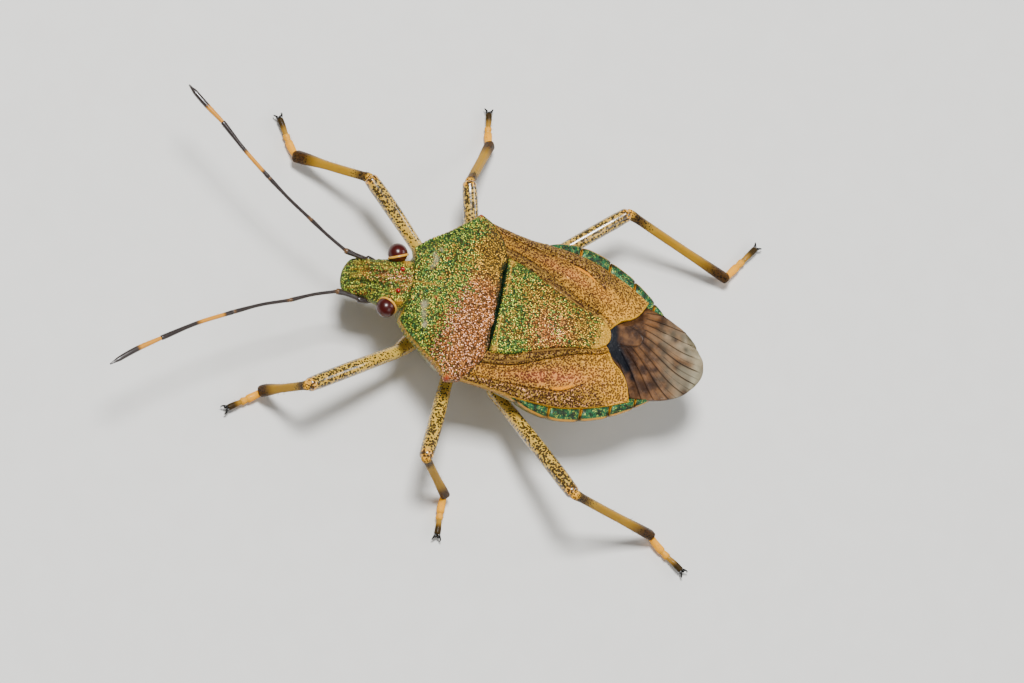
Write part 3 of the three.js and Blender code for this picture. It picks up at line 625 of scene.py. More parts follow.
class HeadPieces(bpy.types.Operator):
    """Head capsule with its lobes, eyes, small red eyes and beak"""

    bl_idname = "shield_bug.head"
    bl_label = "Head"

    def execute(self, context):
        """Builds the head pieces."""
        eye_radius = context.scene.shield_bug_sizes.eye_radius
        shell = Shell()
        y = np.concatenate([0.3 * (1 - np.cos(np.linspace(0.02, math.pi / 2, 26))),
                            np.linspace(0.31, 2.62, 110)])[:, None]
        tip = np.sqrt(np.clip(1 - (1 - np.clip(y / 0.3, 0, 1)) ** 2, 0, 1))
        wide = along(HEAD_WIDTH, y) * tip ** 0.75
        top, low = along(HEAD_TOP, y), along(HEAD_BOTTOM, y)
        edge = low + (top - low) * 0.62
        top = edge + (top - edge) * tip ** 0.7
        low = edge + (low - edge) * tip ** 0.7
        s = np.linspace(-1, 1, 150)[None, :]
        across = np.sin(s * math.pi / 2)
        x = across * wide
        groove = bell(np.abs(x), 0.25 - 0.05 * ease(1.2, 0.2, y), 0.045)
        groove = groove * ease(0.1, 0.35, y) * ease(1.75, 1.45, y)
        stripe = bell(np.abs(x), 0.55, 0.05) * ease(0.25, 0.5, y) * ease(1.9, 1.5, y)
        margin = ease(0.9, 0.99, np.abs(across)) * ease(1.5, 1.2, y)
        ear = 1 + 0.04 * bell(y, 1.24, 0.06)
        dome = edge + (top - edge) * np.clip(1 - across ** 2, 0, 1) ** 0.42
        brow = 0.07 * bell(np.abs(x), 0.8, 0.16) * bell(y, 1.85, 0.4)
        wrinkle = ease(0.52, 0.78, soft_noise(x * 3.2, y + 0 * s, 0.36, 27)) * ease(0.15, 0.4, y)
        dome = dome - 0.07 * groove - 0.025 * stripe + brow + 0.03 * margin + 0.02 * wrinkle
        upper = np.dstack([wide * ear * across, y + 0 * s, dome])
        a = np.linspace(0, math.pi, 60)[None, 1:-1]
        under = edge - (edge - low) * np.sin(a) ** 0.8
        lower = np.dstack([wide * ear * np.cos(a), y + 0 * a, under])
        points = np.concatenate([upper, lower], axis=1)
        points[..., 0] -= 0.1 * ease(2.0, 0.7, points[..., 1])
        blank = np.zeros((len(y), a.shape[1]))
        middle = bell(x, -0.15, 0.35) * ease(0.3, 1.3, y)
        bronze = 0.16 + 0.3 * middle + uneven(x, y, 0.35, 0.35, 5)
        # rose: pinker painted glints over the middle of the head
        rose = 0.3 + 0.5 * bell(x, -0.1, 0.35) * ease(0.7, 1.4, y)
        near_eye = bell(np.abs(x), 0.86, 0.12) * bell(y, 2.28, 0.12)
        shell.grid(points, wrap=True, caps=True,
                   bronze=np.concatenate([bronze, blank + 0.2], 1),
                   rose=np.concatenate([rose, blank + 0.3], 1),
                   groove=np.concatenate([np.clip(0.45 * groove + 0.1 * stripe, 0, 1), blank], 1),
                   # The 0.05 of callus over the whole top is painted light: it brightens the head where it
                   # slopes away from the lamps
                   callus=np.concatenate([np.clip(near_eye + 0.05 + 0.25 * wrinkle, 0, 1), blank], 1),
                   scar=np.concatenate([0 * bronze, blank + 0.35], 1))
        shell.build("head_capsule", "structural_colour_cuticle", ["head"], 60)
        for side, label in SIDES:
            eye = Shell()
            spot = np.array([side * EYE_SPOT[0], EYE_SPOT[1], EYE_SPOT[2]])
            eye.ball(spot, eye_radius, (1.0, 1.0, 0.96), 60, 80)
            eye.build("eye_" + label + "_globe", "compound_eye_gloss", ["eye_" + label])
            ring = Shell()
            turn = np.linspace(0, 2 * math.pi, 90, endpoint=False)
            axis = np.array([side * 0.8, -0.42, 0.25])
            axis /= np.linalg.norm(axis)
            first = np.cross(axis, [0, 0, 1.0])
            first /= np.linalg.norm(first)
            second = np.cross(axis, first)
            seat = spot - axis * 0.12
            circle = np.cos(turn)[:, None] * first + np.sin(turn)[:, None] * second
            loops = [seat + axis * 0.05 * math.sin(w) + circle * (eye_radius - 0.005 + 0.035 * math.cos(w))
                     for w in np.linspace(0, 2 * math.pi, 13)]
            ring.grid(np.array(loops), wrap=True)
            ring.build("eye_" + label + "_rim", "pale_eye_rim")
            bead = Shell()
            small = [side * OCELLUS_SPOT[0], OCELLUS_SPOT[1], float(along(HEAD_TOP, OCELLUS_SPOT[1])) - 0.02]
            bead.ball(small, 0.095, (1, 1, 0.9), 24, 32)
            bead.build("ocellus_" + label, "red_small_eye")
            socket = Shell()
            shift = 0.1 if side > 0 else 0.03
            route = [[side * 0.72 - shift, 1.35, 3.0], [side * 0.86 - shift, 1.1, 3.02],
                     [side * 0.92 - shift, 0.86, 3.06]]
            socket.tube(route, lambda t: 0.17 - 0.03 * t, 20, 10)
            socket.build("antenna_socket_" + label, "banded_antenna_cuticle")
        beak = Shell()
        for k in range(1, len(BEAK_JOINTS)):
            a, b = BEAK_JOINTS[k - 1], BEAK_JOINTS[k]
            thick = 0.17 - 0.02 * k
            beak.tube([a, between(a, b, 0.5), b],
                      lambda t, r=thick: r * (0.9 + 0.12 * np.sin(math.pi * t)), 18, 14,
                      amber=0.5, brown=0.2 + 0.12 * k)
        beak.build("beak", "speckled_femur_cuticle", ["rostrum"])
        return {"FINISHED"}


SIDE_FRONT = [[1.54, 2.42], [2.04, 2.9], [2.49, 3.5], [3.06, 4.2], [3.58, 4.72]]
REAR_SIDE = [[3.38, 5.3], [2.75, 5.84], [2.1, 6.1]]
SIDE_BEADS = 17
RED_SPOTS = ((-0.35, 3.6), (0.5, 3.55), (-1.3, 3.75), (1.45, 3.9), (0.1, 4.4))


class PronotumShield(bpy.types.Operator):
    """Pronotum with beaded sides, dull scars and pointed shoulders"""

    bl_idname = "shield_bug.pronotum"
    bl_label = "Pronotum"

    def execute(self, context):
        """Builds the pronotum."""
        u, v = grid_uv(260, 170)
        plan = patch([[-1.54, 2.42], [-1.0, 2.5], [0, 2.56], [1.0, 2.5], [1.54, 2.42]],
                     [[-3.58, 4.72]] + mirrored(REAR_SIDE) + [[-1.1, 6.04], [0, 6.03], [1.1, 6.04]]
                     + REAR_SIDE[::-1] + [[3.58, 4.72]],
                     mirrored(SIDE_FRONT), SIDE_FRONT, u, v)
        side = np.minimum(u, 1 - u)
        beads = np.sin(v * 2 * math.pi * SIDE_BEADS)
        bead = 0.02 * beads * ease(0.05, 0.0, side) * ease(0.02, 0.08, v) * ease(1, 0.9, v)
        x, y = plan[..., 0].copy(), plan[..., 1].copy()
        x = x + np.sign(u - 0.5) * bead
        y = y + uneven(x, 0 * y, 0.09, 0.3, 7) * ease(0.93, 1.0, v) * ease(2.3, 1.9, np.abs(x))
        plan = np.dstack([x, y])
        scar = np.maximum(bell(np.abs(x), 1.05, 0.42) * bell(y, 3.12 + 0.1 * np.abs(x), 0.17),
                          0.8 * bell(np.abs(x), 1.6, 0.16) * bell(y, 3.42, 0.12))
        scar = np.clip(1.9 * scar * (0.3 + soft_noise(x, y, 0.22, 3)) - 0.4, 0, 1)
        lumps = uneven(x, y, 0.05, 0.5, 2) + uneven(x, y, 0.03, 0.22, 4)
        sides = ease(0.3, 0.9, np.abs(x))
        top = back_height(x, y) + lumps - 0.09 * bell(y, 3.75, 0.3) * sides - 0.03 * scar
        top = top + 0.05 * bell(y, 4.5, 0.5) * bell(np.abs(x), 1.7, 0.8)
        top = top - 0.05 * ease(0.12, 0.04, side) + 0.05 * ease(0.035, 0.012, side)
        top = top - 0.13 * lip(u, v, 0.02, 0.02)
        inner = np.clip(side * 4, 0, 1) * np.clip(np.minimum(v, 1 - v) * 5, 0, 1)
        bottom = back_height(x, y) - 0.42 - 0.35 * inner
        bronze = 0.2 + 0.68 * ease(3.6, 5.2, y + 0.2 * x + uneven(x, y, 0.5, 0.7, 8))
        bronze = bronze - 0.25 * ease(0.14, 0.05, side) * ease(4.9, 4.4, y)
        # rose: pinker bronze and pinker painted glints towards the left rear, partly the cuticle's own
        # colour and partly a painted pink highlight
        rose = 0.75 * ease(3.9, 4.8, y + 0.2 * x) * ease(-1.6, 0.6, x) + 0.1
        edge = ease(0.011, 0.004, side) * ease(1.0, 0.93, v) * (0.7 + 0.3 * beads)
        # Painted shade: a dark line along the outer rear edge and a painted shadow band along the middle of
        # the rear edge, laid through the groove field
        rear_edge_shade = 0.9 * ease(0.03, 0.012, 1 - v) * ease(1.8, 2.2, np.abs(x)) * ease(3.4, 3.0, np.abs(x))
        shadow = ease(0.075, 0.03, 1 - v) * ease(2.2, 1.8, np.abs(x))
        rear_edge_shade = rear_edge_shade + 0.85 * shadow * ease(0.2, 0.6, soft_noise(x, y, 0.25, 9))
        line = bell(x, 0, 0.03) * ease(3.9, 3.4, y) * (0.4 + 0.6 * soft_noise(x, y, 0.2, 6))
        collar = 0.7 * ease(0.016, 0.006, v) * ease(0.9, 1.4, np.abs(x))
        callus = np.clip(np.maximum(np.maximum(edge, 0.85 * line), collar), 0, 1)
        corner = np.hypot(np.abs(x) - 3.56, y - 4.72)
        spots = sum(bell(np.hypot(x - a, y - b), 0, 0.07) for a, b in RED_SPOTS)
        shell = Shell()
        shell.plate(plan, top, bottom, bronze=bronze, rose=rose, scar=scar, callus=callus, groove=rear_edge_shade,
                    shoulder=np.clip(0.8 * ease(0.2, 0.06, corner) + 0.7 * spots, 0, 1))
        shell.build("pronotum_shield", "structural_colour_cuticle", ["pronotum"], 60)
        return {"FINISHED"}


SCUTELLUM_SIDE = [[2.06, 6.08], [1.86, 7.05], [1.4, 8.05], [0.97, 9.15], [0.77, 9.9], [0.63, 10.45],
                  [0.34, 10.82]]


class ScutellumShield(bpy.types.Operator):
    """Scutellum, the long triangle between the fore wings"""

    bl_idname = "shield_bug.scutellum"
    bl_label = "Scutellum"

    def execute(self, context):
        """Builds the scutellum."""
        u, v = grid_uv(160, 200)
        plan = patch([[-2.06, 6.08], [-1.0, 6.0], [0, 5.98], [1.0, 6.0], [2.06, 6.08]],
                     [[-0.34, 10.82], [-0.18, 10.9], [0, 10.93], [0.18, 10.9], [0.34, 10.82]],
                     mirrored(SCUTELLUM_SIDE), SCUTELLUM_SIDE, u, v)
        x, y = plan[..., 0], plan[..., 1]
        side = np.minimum(u, 1 - u)
        lumps = uneven(x, y, 0.05, 0.45, 12) + uneven(x, y, 0.03, 0.2, 14)
        top = back_height(x, y) + lumps + 0.05 * (1 - (2 * u - 1) ** 2)
        top = top + 0.05 * bell(v, 0.12, 0.1) * bell(x, 0, 1.4) - 0.03 * bell(v, 0.4, 0.1)
        top = top - 0.1 * lip(u, v, 0.03, 0.012) - 0.14 * ease(6.2, 6.02, y)
        bottom = back_height(x, y) - 0.55
        green = ease(0.9, 1.6, np.abs(x)) * ease(8.2, 6.8, y)
        bronze = 0.3 + 0.32 * ease(6.6, 7.8, y) * (1 - green) + uneven(x, y, 0.3, 0.6, 15)
        bronze = bronze - 0.15 * green
        # rose: pinker painted glints and bronze on the middle of the scutellum
        rose = 0.1 + 0.5 * bell(np.hypot(x - 0.5, y - 8.4), 0, 0.9)
        base = bell(y, 6.24 + 0.03 * np.abs(x) + 0.06 * soft_noise(x, 0 * y, 0.35, 18), 0.03)
        base = base * ease(0.35, 0.7, soft_noise(x, 0 * y, 0.5, 16) + 0.25 * np.abs(x))
        corner = bell(np.hypot(np.abs(x) - 1.86, y - 6.33), 0, 0.13)
        tip = ease(10.28, 10.7, y + uneven(x, y, 0.5, 0.1, 17) + 0.15 * np.abs(2 * u - 1))
        callus = np.clip(np.maximum(np.maximum(0.9 * base, corner), tip), 0, 1)
        shell = Shell()
        # The groove field darkens the front strip under the pronotum's rear edge: painted shade
        shell.plate(plan, top, bottom, bronze=np.clip(bronze, 0, 1), rose=rose, callus=callus,
                    groove=ease(6.2, 6.12, y))
        shell.build("scutellum_shield", "structural_colour_cuticle", ["scutellum"], 60)
        return {"FINISHED"}


CORIUM_INNER = [[2.0, 5.95], [1.78, 7.05], [1.32, 8.08], [0.9, 9.2], [0.7, 9.95], [0.56, 10.5],
                [0.34, 10.84]]
CORIUM_OUTER = [[3.38, 5.1], [3.34, 5.7], [3.3, 6.8], [3.33, 8.17], [3.24, 9.5], [2.92, 10.65],
                [2.53, 11.6], [2.14, 12.34]]
CORIUM_APICAL = [[0.34, 10.84], [0.86, 11.27], [1.14, 11.72], [1.5, 12.04], [2.14, 12.34]]
CORIUM_FRONT = [[2.0, 5.95], [2.8, 5.6], [3.38, 5.1]]
# Strengths of the warm ground, the flush and the painted sheen on each wing; the left wing's higher values
# are painted light, for the pinker, brighter look that the light gives it
WING_TONES_AND_SIDE_LIGHT = {"left": (0.32, 1.0, 1.0), "right": (0.22, 0.6, 0.35)}


class ForeWingLeather(bpy.types.Operator):
    """The leathery parts of both fore wings"""

    bl_idname = "shield_bug.coria"
    bl_label = "Coria"

    def execute(self, context):
        """Builds both coria."""
        thickness = context.scene.shield_bug_sizes.plate_thickness
        for side, label in SIDES:
            # Per-wing strengths: their difference between the two wings is painted light
            warmth, flushed, shine = WING_TONES_AND_SIDE_LIGHT[label]
            u, v = grid_uv(170, 220)
            plan = patch(CORIUM_FRONT, CORIUM_APICAL, CORIUM_INNER, CORIUM_OUTER, u, v) * [side, 1]
            x, y = plan[..., 0], plan[..., 1]
            seam = 0.35 - 0.24 * ease(0.0, 0.85, v)
            clavus = ease(seam + 0.01, seam - 0.01, u)
            costal_line = 0.75 - 0.16 * ease(0.55, 0.82, v)
            fading = ease(0.8, 0.66, v)
            costal = ease(costal_line - 0.01, costal_line + 0.02, u) * (0.3 + 0.7 * fading)
            vein = bell(u, 0.5 * (seam + costal_line) - 0.08, 0.012) * ease(0.75, 0.3, v)
            lumps = uneven(x, y, 0.035, 0.35, 21) + uneven(x, y, 0.02, 0.15, 22)
            top = back_height(x, y) - 0.04 + lumps
            top = top - 0.06 * bell(u, seam, 0.012) - 0.05 * bell(u, costal_line, 0.016) * fading
            top = top + 0.05 * clavus * np.sin(np.clip(u / seam, 0, 1) * math.pi) + 0.04 * vein
            beyond = np.clip((u - costal_line) / (1 - costal_line), 0, 1)
            top = top + 0.05 * costal * np.sin(beyond * math.pi)
            top = top - 0.05 * ease(0.1, 0.03, u) - 0.16 * ease(0.03, 0.0, v) - 0.08 * lip(u, v, 0.02, 0.01)
            bottom = back_height(x, y) - 0.04 - thickness
            patch_warm = bell(u, 0.63 - 0.12 * v, 0.16) * bell(v, 0.72, 0.2)
            spot = bell(u - costal_line, -0.045, 0.022) * bell(v, 0.6, 0.06)
            spot = np.clip(3.6 * spot * (0.6 + soft_noise(x, y, 0.12, 24)) - 0.5, 0, 1)
            flush = np.clip(bell(u, 0.56 - 0.1 * v, 0.17) * bell(v, 0.52, 0.3) * (1 - clavus), 0, 1)
            flush = flush * flushed
            warm = warmth + 0.4 * patch_warm + 0.4 * ease(0.75, 1.0, v) - 0.3 * clavus - 0.3 * costal
            ribs = ease(0.35, 0.7, soft_noise(u * 34 + 4 * v, v * 5, 1.0, 23))
            streak = np.clip(clavus * ribs + 0.4 * bell(u, seam + 0.05, 0.03) * ribs, 0, 1)
            pale = ease(0.6, 0.8, soft_noise(u * 34 + 4 * v, v * 5, 1.0, 25))
            stripe = np.clip(0.8 * clavus * pale + 0.3 * vein, 0, 1)
            # sheen: painted pink highlight, strongest on the costal strip
            sheen = np.clip(0.3 + 0.8 * costal, 0, 1) * shine
            fold = bell(u, costal_line - 0.005, 0.012) * ease(0.1, 0.4, v) * fading
            dark = 0.6 * bell(u, seam, 0.008) + 0.9 * fold
            behind = bell(u, costal_line + 0.02 - 0.5 * (v - 0.7), 0.03) * bell(v, 0.73, 0.045)
            dark = dark + 0.85 * behind * ease(0.25, 0.6, soft_noise(x, y, 0.14, 26))
            edge = ease(0.012, 0.004, 1 - v) + 0.8 * ease(0.02, 0.006, 1 - u)
            edge = edge + 0.45 * bell(u, 0.3, 0.2) * ease(0.05, 0.0, 1 - v)
            shell = Shell()
            shell.plate(plan, top, bottom, warm=warm, stripe=stripe, streak=streak, sheen=sheen, flush=flush,
                        spot=spot, dark=np.clip(dark, 0, 1), edge=np.clip(edge, 0, 1))
            shell.build("corium_" + label + "_leather", "punctured_wing_leather",
                        ["corium_" + label], 60)
        return {"FINISHED"}


BASAL_CELL = [[0.14, 11.36], [0.0, 11.9], [-0.18, 12.23], [-0.5, 12.33], [-0.72, 12.05], [-0.8, 11.6]]
DARK_BASE = [[-0.45, 10.9], [0.3, 11.1], [0.62, 11.55], [0.95, 12.0], [1.3, 12.3]]
# Place, radius and strength of each smudge
SMUDGES = ((0.58, 13.1, 0.13, 0.8), (0.2, 12.9, 0.2, 0.5), (-0.9, 13.7, 0.12, 0.7),
           (-0.66, 14.2, 0.12, 0.6))
# Where the veins fan out from, and the angle between two of them, in degrees
VEIN_ROOT = (-1.25, 9.9)
VEIN_ANGLE = 6.2
# Each membrane: its drop below the other, and its front, rear, right and left borders
MEMBRANES = {
    "left": (0.0,
             [[-0.6, 10.7], [-0.1, 10.7], [0.34, 10.74], [0.72, 11.15], [1.0, 11.6], [1.46, 11.95],
              [1.98, 12.25]],
             [[-0.8, 14.72], [-0.42, 15.0], [0, 15.1], [0.36, 15.06], [0.72, 14.88]],
             [[-0.6, 10.7], [-0.9, 12.1], [-1.04, 13.4], [-0.8, 14.72]],
             [[1.98, 12.25], [1.84, 13.05], [1.56, 13.9], [1.18, 14.5], [0.72, 14.88]]),
    "right": (0.05,
              [[-1.98, 12.25], [-1.46, 11.95], [-1.0, 11.5], [-0.4, 10.7]],
              [[-1.2, 14.38], [-1.03, 14.56], [-0.88, 14.66], [-0.7, 14.72]],
              [[-1.98, 12.25], [-1.84, 13.0], [-1.56, 13.8], [-1.2, 14.38]],
              [[-0.4, 10.7], [-0.75, 12.1], [-0.95, 13.4], [-0.7, 14.72]]),
}


class WingMembranes(bpy.types.Operator):
    """The membranes at the wing tips, the left over the right"""

    bl_idname = "shield_bug.membranes"
    bl_label = "Membranes"

    def execute(self, context):
        """Builds both membranes."""
        for label, (drop, front, rear, right, left) in MEMBRANES.items():
            u, v = grid_uv(300, 200)
            plan = patch(front, rear, right, left, u, v)
            x, y = plan[..., 0], plan[..., 1]
            dx, dy = x - VEIN_ROOT[0], y - VEIN_ROOT[1]
            fan = np.degrees(np.arctan2(dx, dy)) + 1.2 * np.sin(1.7 * y + 0.5 * x)
            line = 11.42 + 0.86 * ease(0.12, -0.16, x)
            past = y - line
            wide = 0.022 / np.radians(VEIN_ANGLE) / np.hypot(dx, dy)
            turn = np.abs((fan / VEIN_ANGLE) % 1.0 - 0.5)
            vein = np.exp(-(turn / wide) ** 2) * ease(-0.05, 0.08, past) * ease(0.99, 0.86, v)
            turn = np.abs((fan / (VEIN_ANGLE / 2) + 0.5) % 1.0 - 0.5)
            fork = np.exp(-(turn / (2 * wide)) ** 2) * ease(1.0, 1.3, past) * ease(0.99, 0.86, v)
            fork = fork * (soft_noise(np.floor(fan / VEIN_ANGLE) * 3.1, 0 * v, 1.0, 31) > 0.6)
            ring = curve(BASAL_CELL)(np.linspace(0, 1, 60))
            gap = np.min(np.hypot(x[..., None] - ring[:, 0], y[..., None] - ring[:, 1]), axis=-1)
            strong = np.clip(vein + 0.6 * fork + bell(gap, 0, 0.03), 0, 1)
            wrinkle = 0.5 + 0.5 * np.sin(u * 280 + 6 * soft_noise(u * 14, v * 8, 1.0, 33))
            wrinkle = wrinkle * ease(0.8, 0.95, v)
            folds = uneven(x, y, 0.03, 0.5, 34)
            folds = folds - 0.02 * np.cos(np.radians(fan) * 58) * ease(0, 0.5, past)
            top = back_height(x, y) - 0.1 - drop + 0.03 * strong + folds + 0.02 * wrinkle
            top = top - 0.08 * ease(0.16, 0.0, v) - 0.05 * lip(u, v, 0.012, 0.016)
            bottom = back_height(x, y) - 0.1 - drop - 0.16
            share = np.linspace(0, 1, 30)
            route = curve(DARK_BASE)(share)
            near = np.hypot(x[..., None] - route[:, 0], y[..., None] - route[:, 1]) + 0.28 * share ** 2
            near = np.min(near, axis=-1)
            base = ease(0.46, 0.2, near + uneven(x, y, 0.12, 0.16, 35))
            smudge = sum(depth * bell(np.hypot(x - a, y - b), 0, size) for a, b, size, depth in SMUDGES)
            # Painted highlight: the pale stripes that follow the wrinkles stand for their silvery sheen
            rim = ease(0.3, 0.97, v) * (0.05 + 0.5 * soft_noise(x, y, 0.3, 36)) + 0.55 * wrinkle
            shell = Shell()
            shell.plate(plan, top, bottom, vein=np.clip(0.85 * strong, 0, 1), base=base,
                        smudge=np.clip(smudge, 0, 0.85), rim=np.clip(rim, 0, 1))
            shell.build("membrane_" + label + "_film", "smoky_wing_membrane",
                        ["membrane_" + label], 60)
        return {"FINISHED"}


class AbdomenPieces(bpy.types.Operator):
    """Belly and the bright plates along its rim"""

    bl_idname = "shield_bug.abdomen"
    bl_label = "Abdomen"

    def execute(self, context):
        """Builds the belly, thorax and rim plates."""
        y = np.linspace(6.3, 13.72, 170)[:, None]
        joint = np.min(np.abs(y[..., None] - np.array(SEGMENT_JOINTS)), axis=-1)
        w = along(ABDOMEN_HALF, y) - 0.05 - 0.05 * bell(joint, 0, 0.07)
        rim = along(RIM, y) - 0.2
        end = ease(12.9, 13.72, y)
        rim = rim - 0.25 * end
        belly = along([[6, 1.66], [9.5, 1.65], [11.5, 1.95], [13, 2.5], [13.75, 2.85]], y)
        a = np.linspace(0, math.pi, 120)[None, :]
        shape = rim - 0.12 - (rim - 0.12 - belly) * np.sin(a) ** 0.92
        crease = 0.04 * bell(joint, 0, 0.05) * np.sin(a)
        under = np.dstack([w * np.cos(a), y + 0 * a, shape + crease])
        s = np.linspace(-1, 1, 60)[None, 1:-1]
        inner = np.abs(s) * w
        roof = np.minimum(back_height(inner, y) - 0.6, rim)
        above = np.dstack([w * s, y + 0 * s, roof])
        points = np.concatenate([under, above], 1)
        green = np.concatenate([ease(0.7, 0.98, np.abs(np.cos(a))) + 0 * y, 0 * roof + 0.6], 1)
        spiracle = bell(np.abs(np.cos(a)), 0.86, 0.012) * bell(joint, 0.5, 0.05)
        dark = np.clip(spiracle + 0.4 * bell(joint, 0, 0.03) + 0 * a, 0, 1)
        dark = np.concatenate([dark, 0 * roof + 0.75], 1)
        belly_shell = Shell()
        belly_shell.grid(points, wrap=True, flip=True, caps=True, green=green, dark=dark)
        belly_shell.build("belly", "waxy_underside_cuticle", ["abdomen"], 60)
        y = np.linspace(2.5, 6.9, 110)[:, None]
        w = along([[2.5, 1.25], [3.5, 2.25], [4.5, 3.05], [5.5, 3.15], [6.9, 3.1]], y)
        low = along([[2.5, 2.3], [3.6, 1.9], [5, 1.72], [6.9, 1.68]], y)
        side = along(RIM, y) - 0.4 - 0.12 * ease(6.0, 6.9, y)
        shape = side - (side - low) * np.sin(a) ** 0.8
        suture = bell(y - 0.35 * np.sin(a), 4.05, 0.05) + bell(y - 0.35 * np.sin(a), 5.5, 0.05)
        under = np.dstack([w * np.cos(a), y + 0 * a, shape + 0.06 * suture])
        roof = np.minimum(back_height(np.abs(s) * w, y) - 0.5, side + 0.3)
        above = np.dstack([w * s, y + 0 * s, roof])
        points = np.concatenate([under, above], 1)
        chest = Shell()
        chest.grid(points, wrap=True, flip=True, caps=True,
                   green=np.concatenate([0.5 + 0.4 * np.abs(np.cos(a)) + 0 * y, 0 * roof + 0.6], 1),
                   dark=np.concatenate([np.clip(0.7 * suture, 0, 1), 0 * roof + 0.8], 1))
        chest.build("chest", "waxy_underside_cuticle", ["thorax"], 60)
        for side, label in SIDES:
            rim_shell = Shell()
            for k in range(len(SEGMENT_JOINTS) - 1):
                start, stop = SEGMENT_JOINTS[k], SEGMENT_JOINTS[k + 1]
                u, v = grid_uv(44, 60)
                yy = start + 0.015 + (stop - start - 0.03) * v
                outer = along(ABDOMEN_HALF, yy)
                bow = 0.045 * (1 - (2 * v - 1) ** 4) + 0.03 * ease(0.6, 0.95, v) - 0.02
                outer = outer - 0.035 + bow
                inside = np.minimum(along(BACK_HALF, yy) - 0.12, outer - 0.3)
                xx = inside + (outer - inside) * u
                level = along(RIM, yy) - 0.16 - 0.25 * ease(12.9, 13.72, yy)
                puff = 0.07 * np.sin(np.clip((u - 0.1) / 0.9, 0, 1) * math.pi) * (1 - (2 * v - 1) ** 8)
                top = level + puff - 0.05 * u ** 2 - 0.06 * lip(u, v, 0.08, 0.05)
                bottom = level - 0.14 - 0.08 * u
                edge = ease(0.88, 0.95, u) + ease(0.035, 0.02, np.minimum(v, 1 - v))
                corner = ease(0.55, 0.85, u) * (bell(v, 0.0, 0.09) + bell(v, 1.0, 0.12))
                corner = corner + 0.7 * bell(u, 0.1, 0.12) * bell(v, 0.15, 0.15)
                mark = np.clip(corner * (0.4 + soft_noise(xx, yy, 0.12, 40 + k)), 0, 1)
                plan = np.dstack([side * xx, yy])
                edge = np.clip(edge, 0, 1) * (1 - 0.85 * mark)
                rim_shell.plate(plan, top, bottom, edge=edge, dark=0.9 * mark)
            rim_shell.build("rim_plates_" + label, "metallic_rim_cuticle")
        return {"FINISHED"}


# Hip, end of the coxa, knee, ankle and the plan point of the foot's tip
LEGS = {
    "fore_left": ([1.2, 3.75, 1.95], [2.2, 2.97, 2.1], [4.98, -0.42, 3.4], [4.7, -1.65, 0.5],
                  [5.89, -3.08]),
    "fore_right": ([-1.2, 3.75, 1.95], [-2.3, 3.0, 2.05], [-4.42, 0.33, 2.7], [-5.31, -2.4, 0.5],
                   [-7.05, -3.55]),
    "mid_left": ([1.2, 5.3, 1.85], [2.5, 5.25, 2.0], [6.6, 4.78, 3.5], [6.86, 6.42, 0.5],
                 [8.78, 6.55]),
    "mid_right": ([-1.2, 5.3, 1.85], [-2.5, 5.25, 1.95], [-5.42, 4.33, 2.7], [-8.08, 5.25, 0.5],
                  [-9.84, 4.95]),
    "hind_left": ([1.3, 6.75, 1.75], [2.55, 7.25, 1.75], [6.62, 10.82, 4.1], [6.19, 15.03, 0.5],
                  [7.35, 16.9]),
    "hind_right": ([-1.3, 6.75, 1.75], [-2.5, 7.3, 1.7], [-5.95, 10.96, 2.95], [-5.36, 16.01, 0.5],
                   [-7.35, 17.25]),
}
# The foot's three joints: radii at both ends, arch, orange and brown
FOOT_JOINTS = ((0.14, 0.165, -0.05, 0.9, 0.0), (0.12, 0.15, 0.0, 0.75, 0.1), (0.11, 0.13, 0.04, 0.3, 0.55))
# First seeds of the bristles on shins, feet and thighs
SHIN_SEED, FOOT_SEED, THIGH_SEED = 100, 200, 300


def between(a, b, t, lift=0.0):
    """Point at a share of the way between two points, lifted if asked."""
    p = np.array(a, float) + (np.array(b, float) - np.array(a, float)) * t
    p[2] += lift
    return p.tolist()


def bristles(shell, path, radius, number, length, seed, lean, thick):
    """Adds fine bristles standing on a limb, leaning towards its tip."""
    rng = np.random.default_rng(seed)
    route = curve(path)
    for t in rng.random(number) * 0.96 + 0.02:
        centre, ahead = route(t), route(min(1.0, t + 0.02))
        heading = ahead - route(max(0.0, t - 0.02))
        heading = heading / np.linalg.norm(heading)
        side = np.cross(heading, [0, 0, 1.0])
        side = side / np.linalg.norm(side)
        rise = np.cross(side, heading)
        angle = rng.random() * 2 * math.pi
        out = side * math.cos(angle) + rise * math.sin(angle)
        root = centre + out * float(radius(t)) * 0.95
        tip = root + (out + heading * lean) * length * (0.6 + 0.6 * rng.random())
        tip[2] = max(tip[2], 0.03)
        across = np.cross(tip - root, heading + 0.3 * out)
        across = across / max(np.linalg.norm(across), 1e-9) * thick
        third = np.cross(across, tip - root)
        third = third / max(np.linalg.norm(third), 1e-9) * thick
        base = shell.count
        ring = [root + across, root - 0.5 * across + 0.87 * third, root - 0.5 * across - 0.87 * third, tip]
        shell.faces.extend([[base, base + 1, base + 3], [base + 1, base + 2, base + 3],
                            [base + 2, base, base + 3], [base + 2, base + 1, base]])
        shell.add_points(np.array(ring), 4, {})


